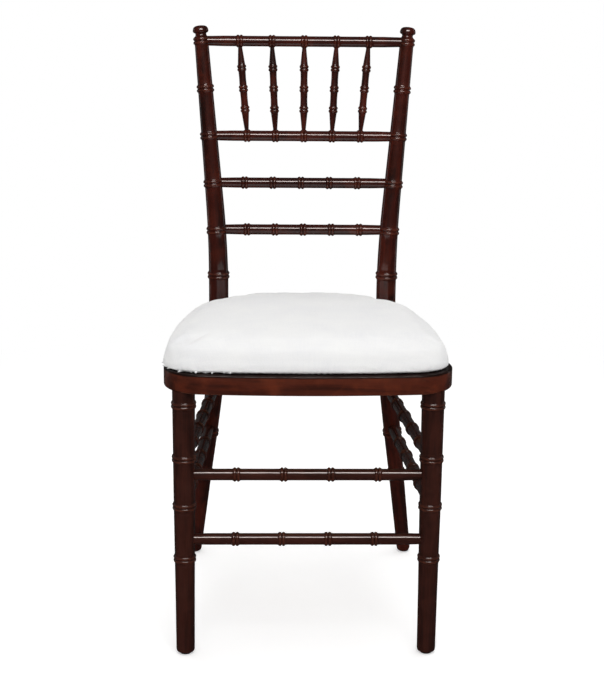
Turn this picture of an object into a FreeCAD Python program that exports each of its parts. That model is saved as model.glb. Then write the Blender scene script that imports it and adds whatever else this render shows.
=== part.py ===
import FreeCAD
import Part
import Sketcher

import math
import os
from types import SimpleNamespace

# Chiavari dining chair, turned in hardwood, with a lift-off seat cushion.
# Millimetres, +X to the sitter's left as seen from the front, +Y to the back, +Z up.
# The origin lies on the floor, midway between the sides and midway front to back.

# Driving sizes: name, value and what it measures

drivingSizes = [
    ("fitGap", 0.1, "room around a tenon or a dowel end in its socket"),
    ("copeGap", 0.3, "room between a coped rail end and the round post"),
    ("softGap", 0.3, "room between the cushion and what it lies on"),
    # Back posts, from the floor to the finial, bent in one upright plane
    ("footOut", 185.0, "rear foot centre, sideways from the middle"),
    ("footBack", 224.4, "rear foot centre, behind the origin"),
    ("bendOut", 131.0, "where the post's two straight runs would meet, sideways"),
    ("bendRise", 37.5, "where those runs would meet, over the seat frame's underside"),
    ("bendTurn", 47.7, "degrees from the X axis to the plane of the bend"),
    ("bendRadius", 1200.0, "radius of the steam bent stretch"),
    ("crestOut", 167.5, "post centre at the crest rail, sideways"),
    ("crestHeight", 888.5, "height of the crest rail and the top ring pair"),
    ("seatRingRise", 66.0, "ring pair just over the cushion, over the seat frame's top"),
    ("lowerBackShare", 0.196, "lower back rail, as a share of the way from that ring to the crest"),
    ("upperBackShare", 0.398, "upper back rail, likewise"),
    ("spindleRailShare", 0.601, "rail under the spindles, likewise"),
    ("upperRingShare", 0.8, "ring pair under the crest, likewise"),
    ("highLegRingShare", 0.856, "rear leg ring pair, as a share of the seat frame's underside"),
    ("midLegRingShare", 0.556, "rear leg ring pair under the side stretchers, likewise"),
    ("lowLegRingShare", 0.372, "lowest rear leg ring pair, likewise"),
    ("postCrestRadius", 11.3, "post radius at the crest rail"),
    ("postSeatRadius", 16.2, "post radius at the seat frame"),
    ("postLegRadius", 14.5, "rear leg radius at its middle ring pair"),
    ("postFootRadius", 11.5, "rear foot radius"),
    ("postRingProud", 2.0, "how far the beads stand out of posts and legs"),
    ("postRingHalf", 5.0, "half length of a ring pair on posts and legs"),
    ("beadGroove", 0.7, "depth of the groove between two beads"),
    ("finialNeckRadius", 8.8, "neck under the finial's button"),
    ("finialNeckRise", 11.0, "top of the neck over the crest ring"),
    ("finialRadius", 12.8, "radius of the finial's button"),
    ("finialRise", 24.0, "top of the finial over the crest ring"),
    ("finialRound", 1.2, "small rounds of the finial's neck and button"),
    # Front legs
    ("legInsetSide", 30.3, "front leg centre, in from the seat frame's widest line"),
    ("legInsetFront", 35.0, "front leg centre, back from the seat frame's front"),
    ("legTopRadius", 16.7, "leg radius under the seat frame"),
    ("legMiddleRadius", 16.0, "leg radius half way down"),
    ("legFootRadius", 13.8, "leg radius at the foot"),
    ("legRingOneShare", 0.948, "top ring pair, as a share of the seat frame's underside"),
    ("legRingTwoShare", 0.749, "second ring pair, likewise"),
    ("legRingThreeShare", 0.569, "third ring pair, likewise"),
    ("legRingFourShare", 0.37, "lowest ring pair, likewise"),
    ("legTenonRadius", 11.0, "round tenon on top of the leg"),
    ("legTenonLength", 17.0, "how far that tenon goes into the seat frame"),
    ("footRound", 2.0, "worn round at the edge of each foot"),
    # Seat frame
    ("frameBottom", 411.0, "underside of the seat frame"),
    ("frameDeep", 29.5, "height of the seat frame's rails"),
    ("frameHalf", 212.3, "half of the seat frame's greatest width"),
    ("frameFront", 235.0, "front of the bowed front rail, before the origin"),
    ("frameBow", 1660.0, "radius of the front rail's bow"),
    ("frameCorner", 60.0, "plan radius of the front corners"),
    ("rearCornerOut", 9.3, "side rail's rear outer corner, out from the post's axis"),
    ("rearCornerFore", 11.2, "rear end of the side rails, before the post's axis"),
    ("frameEdgeRound", 3.0, "round along the outer edges of the frame"),
    ("frontRailWide", 56.0, "front to back size of the front rail"),
    ("sideRailWide", 40.0, "width of a side rail"),
    ("rearRailThick", 21.0, "thickness of the rear rail"),
    ("railTenonHigh", 14.0, "height of the seat rails' tenons"),
    ("railTenonThick", 9.0, "thickness of the seat rails' tenons"),
    ("railTenonStop", 5.6, "what is left between a tenon's end and the post's axis"),
    ("sideTenonLength", 14.0, "side rail's tenon into the front rail"),
    ("sideTenonThick", 12.0, "thickness of that tenon"),
    ("panelThick", 9.0, "plywood seat panel"),
    ("panelSeat", 10.0, "width of the rebate that holds the panel"),
    ("panelGap", 0.3, "room around the panel in its rebate"),
    ("blockReach", 52.0, "reach of a corner block along each rail"),
    ("blockHigh", 19.0, "height of a corner block"),
    ("blockNose", 14.0, "width left at a corner block's two tips"),
    # Back rails
    ("railRadius", 8.4, "radius of the back rails"),
    ("railRingProud", 1.7, "how far the beads stand out of a back rail"),
    ("railRingHalf", 4.2, "half length of a ring pair on a back rail"),
    ("railStop", 2.0, "what is left between a back rail's end and the post's axis"),
    ("crestRingStep", 52.7, "spacing of the crest rail's ring pairs"),
    ("backRingStep", 46.4, "spacing of the ring pairs on the lower back rails"),
    ("upperBackShift", 4.0, "how far the upper back rail's rings sit off the middle"),
    # Spindles
    ("spindleEndRadius", 3.3, "spindle radius where it enters a rail"),
    ("spindleRadius", 5.6, "spindle radius between its ring pairs"),
    ("spindleRingProud", 1.6, "how far the beads stand out of a spindle"),
    ("spindleRingHalf", 3.8, "half length of a spindle's ring pair"),
    ("spindleRingStep", 33.3, "spacing of a spindle's ring pairs"),
    ("spindleThin", 17.0, "length of the thin end, from the rail's axis"),
    ("spindleShoulder", 3.0, "length over which the thin end swells to the full radius"),
    ("spindleStop", 3.5, "what is left between a spindle's end and the rail's axis"),
    # Stretchers
    ("frontUpperShare", 0.687, "upper front stretcher, as a share of the seat frame's underside"),
    ("frontLowerShare", 0.442, "lower front stretcher, likewise"),
    ("sideUpperShare", 0.742, "upper side stretchers, likewise"),
    ("sideLowerShare", 0.577, "lower side stretchers, likewise"),
    ("rearShare", 0.803, "rear stretcher, likewise"),
    ("stretcherRadius", 8.5, "radius of a stretcher"),
    ("stretcherRingProud", 2.0, "how far the beads stand out of a stretcher"),
    ("stretcherRingHalf", 4.6, "half length of a ring pair on a stretcher"),
    ("stretcherStop", 3.0, "what is left between a stretcher's end and the leg's axis"),
    ("frontRingStep", 69.5, "spacing of the front stretchers' ring pairs"),
    ("frontLowerShift", 3.5, "how far the lower front stretcher's rings sit off the middle"),
    ("sideRingStep", 70.0, "spacing of the side stretchers' ring pairs"),
    ("rearRingStep", 62.0, "spacing of the rear stretcher's ring pairs"),
    # Nail-on glides
    ("glideRadius", 9.0, "glide disc"),
    ("glideThick", 3.0, "glide disc"),
    ("glideNailRadius", 1.3, "nail of the glide"),
    ("glideNailLength", 15.0, "nail of the glide over its disc"),
    # Cushion
    ("cushionThick", 53.0, "height of the cushion at its crown"),
    ("cushionInsetSide", 1.8, "cushion's widest line, in from the seat frame's"),
    ("cushionInsetFront", 6.5, "front of the cushion, back from the seat frame's front"),
    ("cushionInsetRear", 6.5, "rear of the cushion, before the rear end of the side rails"),
    ("cushionBow", 1500.0, "radius of the cushion's front and rear edges"),
    ("cushionFrontCorner", 62.0, "plan radius of the front corners"),
    ("cushionRearCorner", 92.0, "plan radius of the rear corners"),
    ("cushionSideBow", 1150.0, "radius of the cushion's sides"),
    ("coverThick", 1.5, "cover with its lining"),
    ("boardThick", 4.0, "base board inside the cover"),
]


class Size:
    """A length that is a number here and a formula for the sheet."""

    def __init__(self, value, text):
        self.value = float(value)
        self.text = text

    def combined(self, other, sign, value):
        return Size(value, "(%s %s %s)" % (self.text, sign, other.text))

    def __add__(self, other):
        other = asSize(other)
        return self.combined(other, "+", self.value + other.value)

    def __sub__(self, other):
        other = asSize(other)
        return self.combined(other, "-", self.value - other.value)

    def __mul__(self, other):
        other = asSize(other)
        return self.combined(other, "*", self.value * other.value)

    def __truediv__(self, other):
        other = asSize(other)
        return self.combined(other, "/", self.value / other.value)


def asSize(thing):
    if isinstance(thing, Size):
        return thing
    return Size(thing, repr(float(thing)))


doc = FreeCAD.newDocument("chiavari_chair")
sheet = doc.addObject("Spreadsheet::Sheet", "sizes")
num = SimpleNamespace()
dim = SimpleNamespace()
sheetRow = 0


def note(name, value, meaning):
    """Write one size into the sheet and make it known under its name."""
    global sheetRow
    sheetRow += 1
    sheet.set("A%d" % sheetRow, name)
    sheet.set("B%d" % sheetRow, repr(float(value)))
    sheet.setAlias("B%d" % sheetRow, name)
    sheet.set("C%d" % sheetRow, meaning)
    setattr(num, name, float(value))
    setattr(dim, name, Size(value, "sizes." + name))
    return getattr(dim, name)


for sizeName, sizeValue, sizeMeaning in drivingSizes:
    note(sizeName, sizeValue, sizeMeaning)

# Heights and places that follow from them

frameTop = num.frameBottom + num.frameDeep
seatMiddle = num.frameBottom + num.frameDeep / 2
panelBottom = frameTop - num.panelThick
tenonMiddle = (num.frameBottom + panelBottom) / 2
note("seatRingHeight", frameTop + num.seatRingRise, "ring pair over the cushion")
backRise = num.crestHeight - num.seatRingHeight
note("bendHeight", num.frameBottom + num.bendRise, "where the post's straight runs would meet")
for key in ("lowerBack", "upperBack", "spindleRail", "upperRing"):
    share = getattr(num, key + "Share")
    note(key + "Height", num.seatRingHeight + backRise * share, "height over the floor")
for key in ("highLegRing", "midLegRing", "lowLegRing"):
    note(key + "Height", num.frameBottom * getattr(num, key + "Share"), "height over the floor")
for key in ("legRingOne", "legRingTwo", "legRingThree", "legRingFour"):
    note(key, num.frameBottom * getattr(num, key + "Share"), "height over the floor")
for key in ("frontUpper", "frontLower", "sideUpper", "sideLower", "rear"):
    note(key + "Height", num.frameBottom * getattr(num, key + "Share"), "height over the floor")
note("legOut", num.frameHalf - num.legInsetSide, "front leg centre, sideways")
note("legForward", num.frameFront - num.legInsetFront, "front leg centre, before the origin")

Vector = FreeCAD.Vector
upward = Vector(0, 0, 1)

# The bent line of a back post

bendAngle = math.radians(num.bendTurn)
footReach = (num.footOut - num.bendOut) / math.cos(bendAngle)
crestReach = (num.crestOut - num.bendOut) / math.cos(bendAngle)
bendBack = num.footBack - footReach * math.sin(bendAngle)
legLean = math.atan2(footReach, num.bendHeight)
backLean = math.atan2(crestReach, num.crestHeight - num.bendHeight)
bendTangent = num.bendRadius * math.tan((legLean + backLean) / 2)
bendStartHeight = num.bendHeight - bendTangent * math.cos(legLean)
bendEndHeight = num.bendHeight + bendTangent * math.cos(backLean)
bendCentreReach = bendTangent * math.sin(legLean) + num.bendRadius * math.cos(legLean)
bendCentreHeight = bendStartHeight + num.bendRadius * math.sin(legLean)


def postReach(height):
    """How far the post's centre line lies out of the bend's corner, in the bend's plane."""
    if height <= bendStartHeight:
        return (num.bendHeight - height) * math.tan(legLean)
    if height >= bendEndHeight:
        return (height - num.bendHeight) * math.tan(backLean)
    rise = height - bendCentreHeight
    return bendCentreReach - math.sqrt(num.bendRadius ** 2 - rise ** 2)


def postSlope(height):
    """How fast that reach grows with the height."""
    if height <= bendStartHeight:
        return -math.tan(legLean)
    if height >= bendEndHeight:
        return math.tan(backLean)
    rise = height - bendCentreHeight
    return rise / math.sqrt(num.bendRadius ** 2 - rise ** 2)


def postPoint(side, height):
    reach = postReach(height)
    return Vector(
        side * (num.bendOut + reach * math.cos(bendAngle)),
        bendBack + reach * math.sin(bendAngle),
        height,
    )


def postDirection(side, height):
    slope = postSlope(height)
    along = Vector(side * slope * math.cos(bendAngle), slope * math.sin(bendAngle), 1)
    return along.normalize()


# The plan of the seat frame, for the side at +X

seatPost = {side: postPoint(side, seatMiddle) for side in (-1, 1)}
note("frameRearOut", seatPost[1].x + num.rearCornerOut, "side rail's rear outer corner, sideways")
note("frameRearBack", seatPost[1].y - num.rearCornerFore, "rear end of the side rails")
note("cushionHalf", num.frameHalf - num.cushionInsetSide, "half of the cushion's width")
note("cushionFront", num.frameFront - num.cushionInsetFront, "front of the cushion")
note("cushionRear", num.frameRearBack - num.cushionInsetRear, "rear of the cushion")
cornerOut = num.frameHalf - num.frameCorner
bowCentre = num.frameBow - num.frameFront
cornerForward = math.sqrt((num.frameBow - num.frameCorner) ** 2 - cornerOut ** 2) - bowCentre
cornerCentre = Vector(cornerOut, -cornerForward, 0)
bowNormal = (cornerCentre - Vector(0, bowCentre, 0)).normalize()
bowEnd = cornerCentre + bowNormal * num.frameCorner
rearCorner = Vector(num.frameRearOut, num.frameRearBack, 0)
toRearCorner = rearCorner - cornerCentre
sideTurn = math.atan2(toRearCorner.y, toRearCorner.x)
sideTurn -= math.acos(num.frameCorner / toRearCorner.Length)
sideNormal = Vector(math.cos(sideTurn), math.sin(sideTurn), 0)
sideRun = Vector(-math.sin(sideTurn), math.cos(sideTurn), 0)
sideStart = cornerCentre + sideNormal * num.frameCorner
sideStartInner = sideStart - sideNormal * num.sideRailWide
frontInner = num.frontRailWide - num.frameFront


def onSideLine(start, back):
    """The point of a line along the side rail that lies at a given distance back."""
    return start + sideRun * ((back - start.y) / sideRun.y)


# Sketches and features


def originPlane(body, role):
    for feature in body.Origin.OriginFeatures:
        if feature.Role == role:
            return feature
    raise ValueError(role)


def newBody(name):
    body = doc.addObject("PartDesign::Body", name)
    body.Label = name
    return body


def newSketch(body, plane, name):
    sketch = body.newObject("Sketcher::SketchObject", name)
    sketch.AttachmentSupport = [(originPlane(body, plane), "")]
    sketch.MapMode = "FlatFace"
    return sketch


def pinned(edge, end, across, size):
    """The rule that holds one end of an edge, and the formula of its distance."""
    size = asSize(size)
    if size.value > 1e-9:
        rule = Sketcher.Constraint("Distance" + across, -1, 1, edge, end, size.value)
        return rule, size.text
    if size.value < -1e-9:
        rule = Sketcher.Constraint("Distance" + across, edge, end, -1, 1, -size.value)
        return rule, "-1 * " + size.text
    axis = -2 if across == "X" else -1
    return Sketcher.Constraint("PointOnObject", edge, end, axis), ""


def drawOutline(sketch, corners, arcs=None):
    """Draw a closed outline; arcs maps an edge's number to its middle point and radius."""
    arcs = arcs or {}
    points = [Vector(asSize(x).value, asSize(y).value, 0) for x, y in corners]
    count = len(points)
    edges = []
    for index in range(count):
        start = points[index]
        end = points[(index + 1) % count]
        if index in arcs:
            edges.append(Part.Arc(start, arcs[index][0], end))
        else:
            edges.append(Part.LineSegment(start, end))
    sketch.addGeometry(edges, False)
    first = []
    last = []
    for index in range(count):
        start = points[index]
        turned = index in arcs and sketch.Geometry[index].StartPoint.distanceToPoint(start) > 1e-6
        first.append(2 if turned else 1)
        last.append(1 if turned else 2)
    rules = []
    for index in range(count):
        after = (index + 1) % count
        meet = Sketcher.Constraint("Coincident", index, last[index], after, first[after])
        rules.append((meet, ""))
        rules.append(pinned(index, first[index], "X", corners[index][0]))
        rules.append(pinned(index, first[index], "Y", corners[index][1]))
    for index in arcs:
        radius = arcs[index][1]
        rules.append((Sketcher.Constraint("Radius", index, radius.value), radius.text))
    sketch.addConstraint([rule for rule, text in rules])
    for index, (rule, text) in enumerate(rules):
        if "sizes." in text:
            sketch.setExpression("Constraints[%d]" % index, text)


def pad(body, sketch, length):
    feature = body.newObject("PartDesign::Pad", sketch.Name + "_pad")
    feature.Profile = sketch
    feature.setExpression("Length", asSize(length).text)
    return feature


def standing(at, direction):
    """A placement that takes the Z axis to a direction from a point."""
    return FreeCAD.Placement(at, FreeCAD.Rotation(upward, direction))


def turned(name, stations, at, direction):
    """A piece turned on a lathe: stations of length and radius, revolved about Z."""
    body = newBody(name)
    outline = newSketch(body, "XZ_Plane", name + "_outline")
    corners = [(0, stations[0][0])]
    corners += [(radius, along) for along, radius in stations]
    corners += [(0, stations[-1][0])]
    drawOutline(outline, corners)
    turning = body.newObject("PartDesign::Revolution", name + "_turning")
    turning.Profile = outline
    turning.ReferenceAxis = (outline, ["V_Axis"])
    turning.Angle = 360
    body.Placement = standing(at, direction)
    return body


def ringPair(centre, under, over, proud, half):
    """Two beads side by side as five stations, between the plain radii on both sides."""
    quarter = half / 2
    crown = (under + over) / 2 + proud
    return [
        (centre - half, under),
        (centre - quarter, crown),
        (centre, crown - dim.beadGroove),
        (centre + quarter, crown),
        (centre + half, over),
    ]


def cylinder(name, at, direction, radius, height):
    tool = doc.addObject("Part::Cylinder", name)
    tool.setExpression("Radius", asSize(radius).text)
    tool.setExpression("Height", asSize(height).text)
    tool.Placement = standing(at, direction)
    return tool


def box(name, centre, along, length, width, height):
    """A block whose length runs along a level direction from the middle of one end."""
    tool = doc.addObject("Part::Box", name)
    tool.setExpression("Length", asSize(length).text)
    tool.setExpression("Width", asSize(width).text)
    tool.setExpression("Height", asSize(height).text)
    turn = FreeCAD.Rotation(Vector(1, 0, 0), along)
    corner = Vector(0, -asSize(width).value / 2, -asSize(height).value / 2)
    tool.Placement = FreeCAD.Placement(centre + turn.multVec(corner), turn)
    return tool


def joined(name, pieces):
    fuse = doc.addObject("Part::MultiFuse", name)
    fuse.Shapes = pieces
    return fuse


def cutFrom(name, base, tools):
    """The base with every tool taken out of it, under the node's own label."""
    cut = doc.addObject("Part::Cut", name + "_cut")
    cut.Base = base
    cut.Tool = tools[0] if len(tools) == 1 else joined(name + "_tools", tools)
    base.Label = name + "_blank"
    cut.Label = name
    return cut


nodes = {}


def keep(name, thing):
    thing.Label = name
    nodes[name] = thing
    return thing


sides = {"left": -1, "right": 1}
noGap = dim.fitGap * 0

# Back posts


def postRadius(height):
    """Post radius at a height, as a straight taper between the named places."""
    places = [
        (noGap, dim.postFootRadius),
        (dim.midLegRingHeight, dim.postLegRadius),
        (dim.seatRingHeight, dim.postSeatRadius),
        (dim.crestHeight, dim.postCrestRadius),
    ]
    for (low, lowRadius), (high, highRadius) in zip(places, places[1:]):
        if height.value <= high.value:
            share = (height - low) / (high - low)
            return lowRadius + (highRadius - lowRadius) * share
    return dim.postCrestRadius


postRings = [
    dim.lowLegRingHeight,
    dim.midLegRingHeight,
    dim.highLegRingHeight,
    dim.seatRingHeight,
    dim.lowerBackHeight,
    dim.upperBackHeight,
    dim.spindleRailHeight,
    dim.upperRingHeight,
    dim.crestHeight,
]


def chord(side, low, high):
    """Direction of the straight stretch of a post between two heights."""
    return (postPoint(side, high.value) - postPoint(side, low.value)).normalize()


def postStations(side):
    """Height, radius and direction of every round section of a post, foot to finial.

    Each stretch between two ring pairs is straight and of one radius, so the bend
    and the taper both happen inside the ring pairs and inside the seat frame.
    """
    half = dim.postRingHalf
    inFrame = dim.frameBottom + dim.frameDeep / 2
    joint = dim.postRingHalf / 5
    foot = dim.glideThick * 1
    firstRadius = postRadius(dim.lowLegRingHeight)
    stations = [
        (foot, dim.postFootRadius - dim.footRound * 0.7, upward),
        (foot + dim.footRound, dim.postFootRadius, upward),
    ]
    under = chord(side, foot, dim.lowLegRingHeight)
    radius = firstRadius
    for ring, after in zip(postRings, postRings[1:] + [None]):
        if after is None:
            overRadius = dim.postCrestRadius
            over = postDirection(side, ring.value)
        elif after is dim.seatRingHeight:
            overRadius = dim.postSeatRadius
            over = chord(side, ring + half, inFrame - joint)
        else:
            overRadius = postRadius((ring + after) / 2)
            over = chord(side, ring + half, after - half)
        square = postDirection(side, ring.value)
        directions = [under, square, square, square, over]
        pair = ringPair(ring, radius, overRadius, dim.postRingProud, half)
        for (height, size), direction in zip(pair, directions):
            stations.append((height, size, direction))
        if after is dim.seatRingHeight:
            stations.append((inFrame - joint, overRadius, over))
            over = chord(side, inFrame + joint, after - half)
            stations.append((inFrame + joint, overRadius, over))
        radius = overRadius
        under = over
    crest = dim.crestHeight
    neck = dim.finialNeckRise
    button = dim.finialRise - neck
    finial = [
        (crest + half + dim.finialRound, dim.finialNeckRadius),
        (crest + neck - dim.finialRound, dim.finialNeckRadius),
        (crest + neck, dim.finialRadius - dim.finialRound),
        (crest + neck + button * 0.3, dim.finialRadius),
        (crest + neck + button * 0.75, dim.finialRadius * 0.9),
        (crest + dim.finialRise, dim.finialRadius * 0.4),
    ]
    square = postDirection(side, num.crestHeight)
    stations += [(height, size, square) for height, size in finial]
    return stations


def postBlank(side, name):
    """Ruled loft through the round sections."""
    sections = []
    for index, (height, radius, direction) in enumerate(postStations(side)):
        circle = doc.addObject("Part::Circle", "%s_section_%d" % (name, index))
        circle.setExpression("Radius", radius.text)
        circle.Placement = standing(postPoint(side, height.value), direction)
        sections.append(circle)
    blank = doc.addObject("Part::Loft", name + "_blank")
    blank.Sections = sections
    blank.Solid = True
    blank.Ruled = True
    return blank


def socket(name, at, inward, stop, radius, reach):
    """A round socket: inward points from the outside to the post's or leg's axis."""
    floor = at - inward * (asSize(stop).value - num.fitGap)
    return cylinder(name, floor, inward * -1, radius + dim.fitGap, reach)


# Rail and stretcher ends: where each pair of round sockets lies

backRails = {
    "crest_rail": dim.crestHeight,
    "spindle_rail": dim.spindleRailHeight,
    "upper_back_rail": dim.upperBackHeight,
    "lower_back_rail": dim.lowerBackHeight,
}
sideStretchers = {"upper": dim.sideUpperHeight, "lower": dim.sideLowerHeight}
frontStretchers = {"upper": dim.frontUpperHeight, "lower": dim.frontLowerHeight}


def legPoint(side, height):
    return Vector(side * num.legOut, -num.legForward, height)


def sideStretcherLine(side, height):
    """The axes' points at the front leg and the post, and the direction between them."""
    front = legPoint(side, height)
    rear = postPoint(side, height)
    return front, rear, (rear - front).normalize()


socketReach = dim.legTopRadius * 2
tenonPost = {side: postPoint(side, tenonMiddle) for side in (-1, 1)}


def sideTenon(side, grow):
    """The side rail's tenon into the post, or with grow its mortise."""
    run = Vector(side * sideRun.x, sideRun.y, 0)
    length = dim.postSeatRadius * 2
    start = tenonPost[side] - run * (num.railTenonStop - grow.value + length.value)
    return box(
        "side_tenon",
        start,
        run,
        length,
        dim.railTenonThick + grow * 2,
        dim.railTenonHigh + grow * 2,
    )


def rearTenon(side, grow):
    """The rear rail's tenon into the post, or with grow its mortise."""
    run = Vector(side, 0, 0)
    length = dim.postSeatRadius * 2
    start = tenonPost[side] - run * (num.railTenonStop - grow.value + length.value)
    return box(
        "rear_tenon",
        start,
        run,
        length,
        dim.railTenonThick + grow * 2,
        dim.railTenonHigh + grow * 2,
    )


for sideName, side in sides.items():
    name = "back_post_" + sideName
    blank = postBlank(side, name)
    tools = []
    for railName, height in backRails.items():
        at = postPoint(side, height.value)
        tools.append(
            socket(
                name + "_" + railName,
                at,
                Vector(side, 0, 0),
                dim.railStop,
                dim.railRadius,
                socketReach,
            )
        )
    for level, height in sideStretchers.items():
        front, rear, run = sideStretcherLine(side, height.value)
        tools.append(
            socket(
                name + "_side_" + level,
                rear,
                run,
                dim.stretcherStop,
                dim.stretcherRadius,
                socketReach,
            )
        )
    tools.append(
        socket(
            name + "_rear",
            postPoint(side, num.rearHeight),
            Vector(side, 0, 0),
            dim.stretcherStop,
            dim.stretcherRadius,
            socketReach,
        )
    )
    tools.append(sideTenon(side, dim.fitGap))
    tools.append(rearTenon(side, dim.fitGap))
    tools.append(
        cylinder(
            name + "_nail_hole",
            Vector(side * num.footOut, num.footBack, 0),
            upward,
            dim.glideNailRadius + dim.fitGap,
            dim.glideThick + dim.glideNailLength + dim.fitGap,
        )
    )
    keep(name, cutFrom(name, blank, tools))

# Front legs

for sideName, side in sides.items():
    name = "front_leg_" + sideName
    foot = dim.glideThick
    top = dim.frameBottom - foot
    stations = [
        (dim.glideThick * 0, dim.legFootRadius - dim.footRound),
        (dim.footRound * 1, dim.legFootRadius),
    ]
    legSteps = [
        (dim.legRingFour, dim.legFootRadius, (dim.legFootRadius + dim.legMiddleRadius) / 2),
        (dim.legRingThree, (dim.legFootRadius + dim.legMiddleRadius) / 2, dim.legMiddleRadius),
        (dim.legRingTwo, dim.legMiddleRadius, (dim.legMiddleRadius + dim.legTopRadius) / 2),
        (dim.legRingOne, (dim.legMiddleRadius + dim.legTopRadius) / 2, dim.legTopRadius),
    ]
    for height, under, over in legSteps:
        stations += ringPair(height - foot, under, over, dim.postRingProud, dim.postRingHalf)
    stations += [
        (top, dim.legTopRadius),
        (top, dim.legTenonRadius),
        (top + dim.legTenonLength, dim.legTenonRadius),
    ]
    blank = turned(name + "_turning", stations, legPoint(side, num.glideThick), upward)
    tools = []
    for level, height in frontStretchers.items():
        tools.append(
            socket(
                name + "_front_" + level,
                legPoint(side, height.value),
                Vector(side, 0, 0),
                dim.stretcherStop,
                dim.stretcherRadius,
                socketReach,
            )
        )
    for level, height in sideStretchers.items():
        front, rear, run = sideStretcherLine(side, height.value)
        tools.append(
            socket(
                name + "_side_" + level,
                front,
                run * -1,
                dim.stretcherStop,
                dim.stretcherRadius,
                socketReach,
            )
        )
    tools.append(
        cylinder(
            name + "_nail_hole",
            legPoint(side, 0),
            upward,
            dim.glideNailRadius + dim.fitGap,
            dim.glideThick + dim.glideNailLength + dim.fitGap,
        )
    )
    keep(name, cutFrom(name, blank, tools))


def between(name, start, end, stop, body, proud, half, rings):
    """A turned bar between two axes, its ring pairs given from the middle."""
    run = (end - start).normalize()
    length = note(
        name.replace("_", "") + "Length",
        (end - start).Length - 2 * asSize(stop).value,
        name.replace("_", " ") + ", end to end",
    )
    middle = length / 2
    stations = [(length * 0, body)]
    for place in rings:
        stations += ringPair(middle + place, body, body, proud, half)
    stations.append((length, body))
    return turned(name, stations, start + run * asSize(stop).value, run)


# Back rails: five ring pairs each, the two upper rails bored for the spindles

spindleCount = 5
spindlePlaces = [index - (spindleCount - 1) / 2 for index in range(spindleCount)]


def spindleEnds(place):
    """The axes' points of the crest rail and the spindle rail that one spindle joins."""
    top = Vector(place * num.crestRingStep, postPoint(1, num.crestHeight).y, num.crestHeight)
    low = Vector(
        place * num.backRingStep,
        postPoint(1, num.spindleRailHeight).y,
        num.spindleRailHeight,
    )
    return low, top


for railName, height in backRails.items():
    step = dim.crestRingStep if railName == "crest_rail" else dim.backRingStep
    shift = dim.upperBackShift if railName == "upper_back_rail" else noGap
    rail = between(
        railName,
        postPoint(-1, height.value),
        postPoint(1, height.value),
        dim.railStop,
        dim.railRadius,
        dim.railRingProud,
        dim.railRingHalf,
        [step * place - shift for place in spindlePlaces],
    )
    if railName in ("upper_back_rail", "lower_back_rail"):
        keep(railName, rail)
        continue
    bores = []
    for place in spindlePlaces:
        low, top = spindleEnds(place)
        run = (top - low).normalize()
        at, inward = (top, run) if railName == "crest_rail" else (low, run * -1)
        bores.append(
            socket(
                railName + "_bore",
                at,
                inward,
                dim.spindleStop,
                dim.spindleEndRadius,
                dim.railRadius * 2,
            )
        )
    keep(railName, cutFrom(railName, rail, bores))

# Spindles: fanned out towards the crest, three ring pairs each

for number, place in enumerate(spindlePlaces, 1):
    low, top = spindleEnds(place)
    run = (top - low).normalize()
    length = note(
        "spindleLength%s" % "ABCDE"[number - 1],
        (top - low).Length - 2 * num.spindleStop,
        "spindle %d, end to end" % number,
    )
    middle = length / 2
    thin = dim.spindleThin - dim.spindleStop
    full = thin + dim.spindleShoulder
    stations = [
        (length * 0, dim.spindleEndRadius),
        (thin, dim.spindleEndRadius),
        (full, dim.spindleRadius),
    ]
    for ring in (-1, 0, 1):
        stations += ringPair(
            middle + dim.spindleRingStep * ring,
            dim.spindleRadius,
            dim.spindleRadius,
            dim.spindleRingProud,
            dim.spindleRingHalf,
        )
    stations += [
        (length - full, dim.spindleRadius),
        (length - thin, dim.spindleEndRadius),
        (length, dim.spindleEndRadius),
    ]
    spindleName = "spindle_%d" % number
    keep(spindleName, turned(spindleName, stations, low + run * num.spindleStop, run))

# Stretchers

fourPlaces = (-1.5, -0.5, 0.5, 1.5)


def stretcher(name, start, end, step, shift=noGap):
    """A stretcher with four ring pairs, the set of them shifted to -X."""
    return between(
        name,
        start,
        end,
        dim.stretcherStop,
        dim.stretcherRadius,
        dim.stretcherRingProud,
        dim.stretcherRingHalf,
        [step * place - shift for place in fourPlaces],
    )


for level, height in frontStretchers.items():
    name = "front_stretcher_" + level
    ends = legPoint(-1, height.value), legPoint(1, height.value)
    shift = dim.frontLowerShift if level == "lower" else noGap
    keep(name, stretcher(name, ends[0], ends[1], dim.frontRingStep, shift))
for sideName, side in sides.items():
    for level, height in sideStretchers.items():
        name = "side_stretcher_%s_%s" % (sideName, level)
        front, rear, run = sideStretcherLine(side, height.value)
        keep(name, stretcher(name, front, rear, dim.sideRingStep))
rearEnds = postPoint(-1, num.rearHeight), postPoint(1, num.rearHeight)
keep("rear_stretcher", stretcher("rear_stretcher", rearEnds[0], rearEnds[1], dim.rearRingStep))

# Seat frame: the front rail carries both rounded corners

frontInnerOut = onSideLine(sideStartInner, frontInner)
bowEndX = note("bowEndX", bowEnd.x, "where the bow meets the corner round, sideways")
bowEndY = note("bowEndY", bowEnd.y, "where the bow meets the corner round, front to back")
sideStartX = note("sideStartX", sideStart.x, "where the side rail starts, outside")
sideStartY = note("sideStartY", sideStart.y, "where the side rail starts, outside")
sideInnerX = note("sideInnerX", sideStartInner.x, "where the side rail starts, inside")
sideInnerY = note("sideInnerY", sideStartInner.y, "where the side rail starts, inside")
frontInnerX = note("frontInnerX", frontInnerOut.x, "inner corner of the seat frame, sideways")
frontInnerY = note("frontInnerY", frontInner, "inner edge of the front rail")


def mirrored(size):
    return size * -1


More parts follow.
